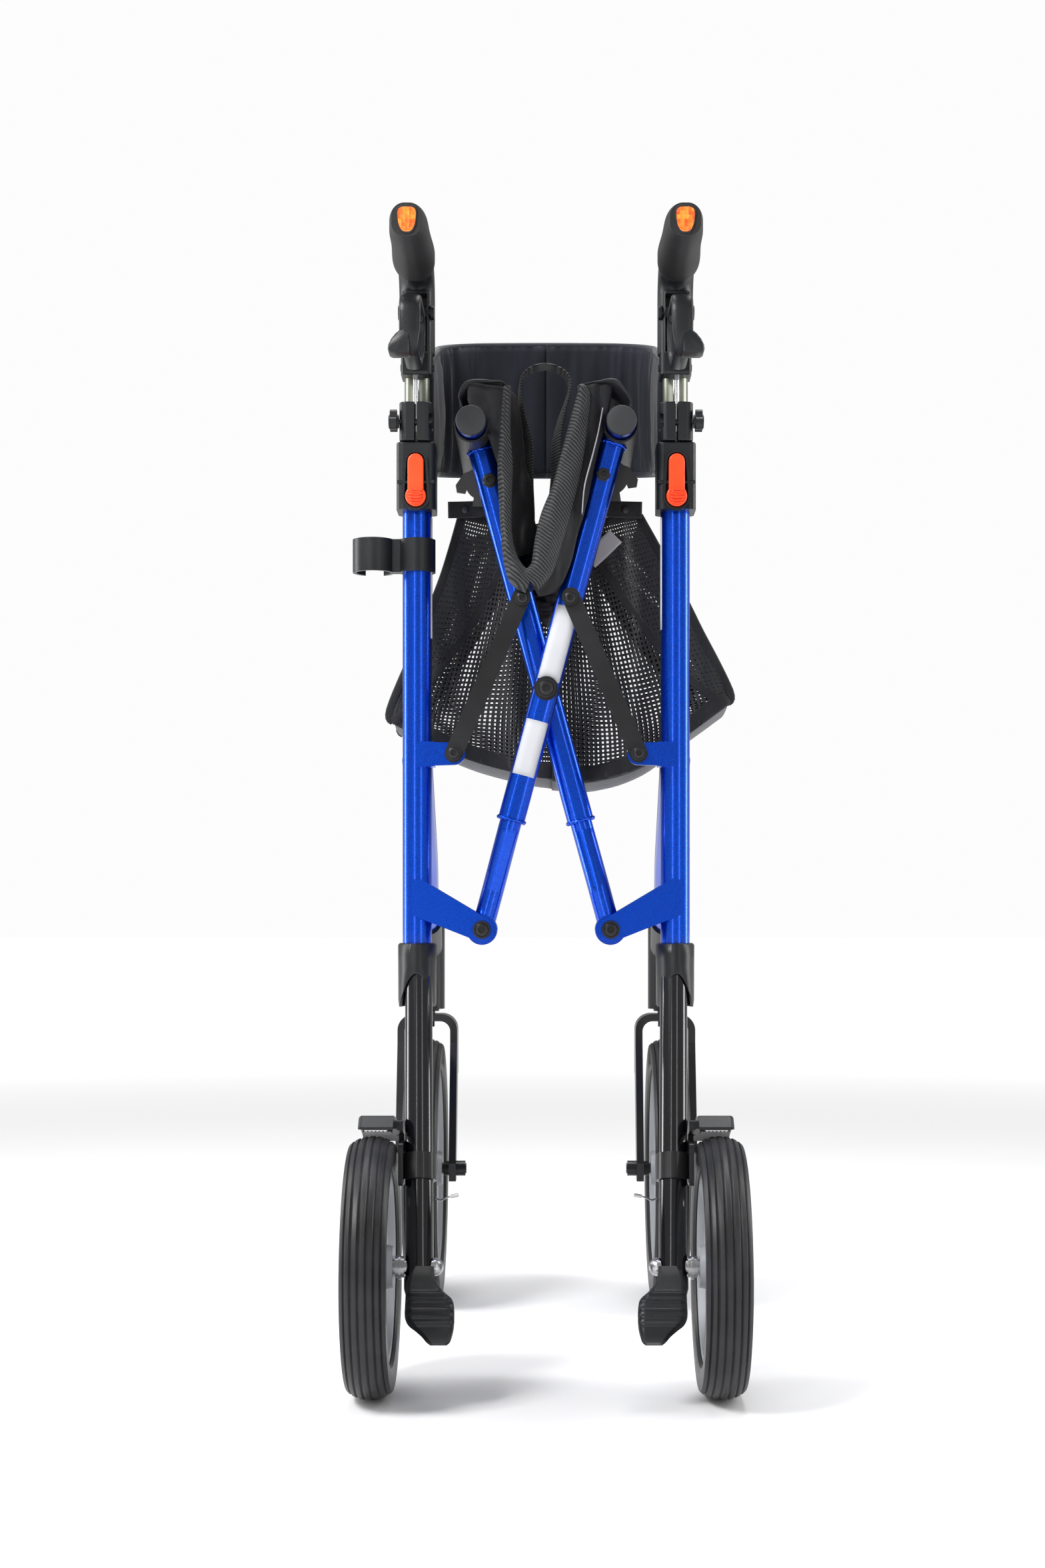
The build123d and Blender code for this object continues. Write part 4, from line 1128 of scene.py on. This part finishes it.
def make_reflectors():
    """Shield-shaped reflector in a bezel on the rear face of each grip."""
    outline = []
    half, tall = 8.4, 19.0
    for k in range(40):
        angle = 2 * math.pi * k / 40
        c, s = math.cos(angle), math.sin(angle)
        narrow = 1 - 0.28 * (1 - s) / 2 * 1.4
        outline.append((half * math.copysign(abs(c) ** 0.6, c) * narrow,
                        tall / 2 * math.copysign(abs(s) ** 0.75, s)))
    for label, side in SIDES:
        centre = Vector((side * TUBE.x, GRIP_LOW.y, (GRIP_LOW.z + GRIP_HIGH.z) / 2 + 1.2 * MM))
        for name, scale, out, material, slot in (
                ("bezel", 1.16, 0.8, MATERIALS["grip_rubber"], "grip_rubber"),
                ("reflector", 1.0, 1.3, PRISM, "orange_plastic")):
            verts = []
            for depth, size in ((1.0, scale), (-out * 0.6, scale), (-out, scale * 0.95)):
                verts += [centre + Vector((x * size * MM, depth * MM, z * size * MM))
                          for x, z in outline]
            count = len(outline)
            faces = grid_faces(3, count, close=True)
            faces += [tuple(range(count)), tuple(range(2 * count, 3 * count))[::-1]]
            soften(piece(f"grip_{name}_{label}", verts, faces, slot, f"{label}_handle", material,
                         smooth=False))


def make_brake_pads():
    """Toothed steel edge of each brake pad, under the rear end of the shoe's cover."""
    for label, side in SIDES:
        rows = []
        for y in (-3.2, 3.6):
            top = [(124 + 18 * k / 24, 208.6) for k in range(25)]
            low = [(x, 206.9 + 1.2 * abs((k * 0.5) % 2 - 1)) for k, (x, z) in enumerate(top)][::-1]
            rows.append([point(side * x, y, z) for x, z in top + low])
        made = piece(f"brake_pad_edge_{label}", rows[0] + rows[1], tube_faces(2, len(rows[0])),
                     "bare_steel", f"{label}_shoe", smooth=False)
        tidy_normals(made)


def make_latch_ribs():
    """Ribs across the rounded lower end of each latch lever."""
    for label, side in SIDES:
        low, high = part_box(f"{label}_latch_lever")
        middle_x = (low.x + high.x) / 2
        for n in range(5):
            z = low.z + (3.2 + 2.3 * n) * MM
            half = (4.2, 5.2, 5.6, 5.4, 4.6)[n] * MM
            path = [Vector((middle_x + half * t, low.y - 0.1 * MM, z - 1.2 * MM * (1 - t * t)))
                    for t in (-1, -0.6, -0.2, 0.2, 0.6, 1)]
            swept(f"latch_rib_{n}_{label}", path, lambda k: ellipse(1.1, 1.1, 8),
                  "orange_plastic", f"{label}_latch")


def make_acorn_nuts():
    """Domed nuts on the outer side of each front tube."""
    rings = [(-3, 5.5), (0.5, 5.5), (0.6, 4.6), (4, 4.6),
             (5.6, 4.0), (7.0, 2.4), (7.6, 0.6)]
    for label, side in SIDES:
        for n, (y, z) in enumerate(((272, 435), (325, 415))):
            x = 110.5 + (y - 272) * 0.05
            disc_stack(f"acorn_nut_{n}_{label}", rings, point(side * (x + 12), y, z), (side, 0, 0),
                       "bare_steel", f"{label}_side", 24)


def cross_point(distance, side, offset=0.0):
    """Place on a cross tube, by distance above the centre pivot; side is where it leans."""
    x = distance * math.sin(LEAN) + offset * math.cos(LEAN)
    z = PIVOT.z / MM + distance * math.cos(LEAN) - offset * math.sin(LEAN)
    return side * x, z


PAPER_THICK = 0.25


def label_patch(name, distance, length, half_wide):
    """Blank paper label wrapped round the rear face of the rear cross tube."""
    plane_y = BOLT_BACK_MM + 15.6
    rows, columns = 8, 13
    radius = 8.5
    verts = []
    for r in range(rows):
        d = distance + length * (r / (rows - 1) - 0.5)
        for c in range(columns):
            offset = half_wide * (2 * c / (columns - 1) - 1)
            beyond = max(0.0, abs(offset) - 2.5)
            curve = radius - math.sqrt(max(radius ** 2 - beyond ** 2, 0.0))
            x, z = cross_point(d, 1, offset)
            verts.append(point(x, plane_y - 10.25 + curve, z))
    thicken(piece(name, verts, grid_faces(rows, columns), "blue_paint", "rear_cross", LABEL),
            PAPER_THICK)


def make_labels():
    """Two blank labels on the rear cross tube and a blank strip inside each upright."""
    label_patch("blank_label_upper", 38, 62, 9.0)
    label_patch("blank_label_lower", -50, 46, 9.0)
    for label, side in SIDES:
        low, high = 603 if side < 0 else 610, 702
        verts = []
        rows, columns = 6, 5
        for r in range(rows):
            for c in range(columns):
                angle = math.radians(180 - 22 + 11 * c)
                verts.append(Vector((side * (TUBE.x + 12.25 * MM * math.cos(angle)),
                                     TUBE.y + 12.25 * MM * math.sin(angle),
                                     (low + (high - low) * r / (rows - 1)) * MM)))
        thicken(piece(f"blank_strip_{label}", verts, grid_faces(rows, columns), "blue_paint",
                      f"{label}_side", LABEL), PAPER_THICK)


def make_tags():
    """Hanging tag by the right fold of the sling and the grey tag on the bag's strap."""
    tag = [(45.5, 784), (42, 765), (37, 745), (31, 722), (29, 700)]
    path = curve_through([point(x, 57, z) for x, z in tag], 5)
    swept("hanging_tag", path, lambda k: ellipse(1.0, 12, 10, 0.4), "seat_fabric", "rear_cross",
          material=TAG)
    strip = curve_through([point(x, 122, z) for x, z in ((36, 672), (47, 682), (58, 693))], 5)
    swept("reflective_tag", strip, lambda k: ellipse(15, 1.2, 10, 0.3), "webbing", "rear_cross",
          material=TAG)
    for label, side, body, x0 in (("left", -1, "front_cross", 62), ("right", 1, "rear_cross", 60)):
        run = curve_through([point(side * x, 118, z) for x, z in
                             ((x0 - 18, 716), (x0, 714.5), (x0 + 20, 714))], 5)
        swept(f"snap_strap_{label}", run, lambda k: ellipse(14, 2.4, 12, 0.3), "webbing",
              body, material=BINDING)
        rings = [(-1, 3.4), (1.0, 3.4), (1.6, 2.6), (1.7, 0.8)]
        disc_stack(f"snap_rivet_{label}", rings, point(side * (x0 + 6), 116.6, 714.2), (0, -1, 0),
                   "black_steel", body, 20)


def make_bolts():
    """Heads of the bolts that hold the hook plates: hexagonal on the right, round on the left."""
    for label, side, body, y in (("right", 1, "rear_cross", BOLT_BACK_MM + 5.4),
                                 ("left", -1, "front_cross", BOLT_BACK_MM + 29.4)):
        x, z = cross_point(180, side)
        rings = [(-2, 6.0), (0.6, 6.0), (0.8, 4.8), (3.2, 4.6),
                 (3.4, 2.6), (1.6, 2.4)]
        disc_stack(f"hook_bolt_{label}", rings, point(x, y, z), (0, -1, 0), "black_steel",
                   body, 6 if side > 0 else 24)


def socket_bolt(name, place, radius, body):
    """Black socket-head bolt with a washer, facing backwards."""
    rings = [(0, radius * 1.35), (0.8, radius * 1.35), (0.9, radius * 1.05),
             (1.4, radius), (2.4, radius * 0.92), (2.9, radius * 0.7),
             (2.8, radius * 0.45), (1.2, radius * 0.42)]
    disc_stack(name, rings, place, (0, -1, 0), "black_steel", body, 28)


def make_pivot_bolts():
    """Bolt heads at the fold pivots, at both ends of each link and at the centre."""
    joint = {j["name"]: j for j in frame["record"]["behaviour"]["joints"]}
    socket_bolt("centre_bolt_head", Vector((PIVOT.x, BOLT_BACK + 1.0 * MM, PIVOT.z)), 6.0, "centre")
    for label, side in SIDES:
        foot = joint[f"{label}_link_pivot"]["pos_m"]
        link_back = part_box(f"{label}_link_bar")[0].y
        tip_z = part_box(f"{label}_link_bar")[1].z - 9 * MM
        lean_x = (tip_z - PIVOT.z) * math.tan(LEAN)
        socket_bolt(f"link_foot_bolt_{label}", Vector((foot[0], link_back - 1.6 * MM, foot[2])),
                    4.6, f"{label}_side")
        socket_bolt(f"link_top_bolt_{label}", Vector((side * lean_x, link_back - 0.2 * MM, tip_z)),
                    4.6, f"{label}_link")
        pivot = joint["fold" if side < 0 else "right_side_pivot"]["pos_m"]
        head = Vector((side * abs(pivot[0]), pivot[1] - 18.3 * MM, pivot[2]))
        socket_bolt(f"fold_bolt_{label}", head, 5.4, f"{label}_side")


def make_cable_ends():
    """Ends of the brake cables where they leave the rear legs."""
    for label, side in SIDES:
        route = [(88, 38, 150), (84, 34, 149), (80, 32, 151), (74, 31, 153)]
        path = curve_through([point(side * x, y, z) for x, y, z in route], 6)
        swept(f"cable_end_{label}", path, lambda k: ellipse(1.6, 1.6, 10),
              "bare_steel", f"{label}_side", up=UP)
        rings = [(0, 1.6), (6, 1.6), (6.4, 0.8)]
        disc_stack(f"cable_crimp_{label}", rings, point(side * 76, 31, 152.4), (-side, 0, 0.2),
                   "bare_steel", f"{label}_side", 14)


def make_welds():
    """Weld beads where the cross tubes meet the rails and their lower tubes."""
    for label, side, body, depth in (("right", 1, "rear_cross", 5.6 + 10.0),
                                     ("left", -1, "front_cross", 5.6 + 34.0)):
        plane_y = BOLT_BACK_MM + depth
        for name, distance, wide, deep in (("rail", 207, 22.5, 20.5), ("foot", -110, 22.0, 20.0)):
            x, z = cross_point(distance, side)
            centre = point(x, plane_y, z)
            axis = Vector((side * math.sin(LEAN), 0, math.cos(LEAN)))
            across = Vector((math.cos(LEAN), 0, -side * math.sin(LEAN)))
            ring = []
            for a, b in ellipse(wide, deep, 72, 0.72):
                ring.append(centre + across * a + FORWARD * b
                            + axis * 0.5 * MM * math.sin(len(ring) * 1.7))
            swept(f"weld_{name}_{label}", ring,
                  lambda k: ellipse((2.6 + 0.5 * math.sin(k * 160)), 2.6, 8),
                  "blue_paint", body, up=axis, close=True)


make_camera()
make_studio()
dress_nodes()
make_seat()
make_pull_strap()
make_backrest()
make_bag()
make_caps()
make_collar_sleeves()
make_pedals()
make_levers()
make_reflectors()
make_brake_pads()
make_latch_ribs()
make_acorn_nuts()
make_labels()
make_tags()
make_bolts()
make_pivot_bolts()
make_cable_ends()
make_welds()
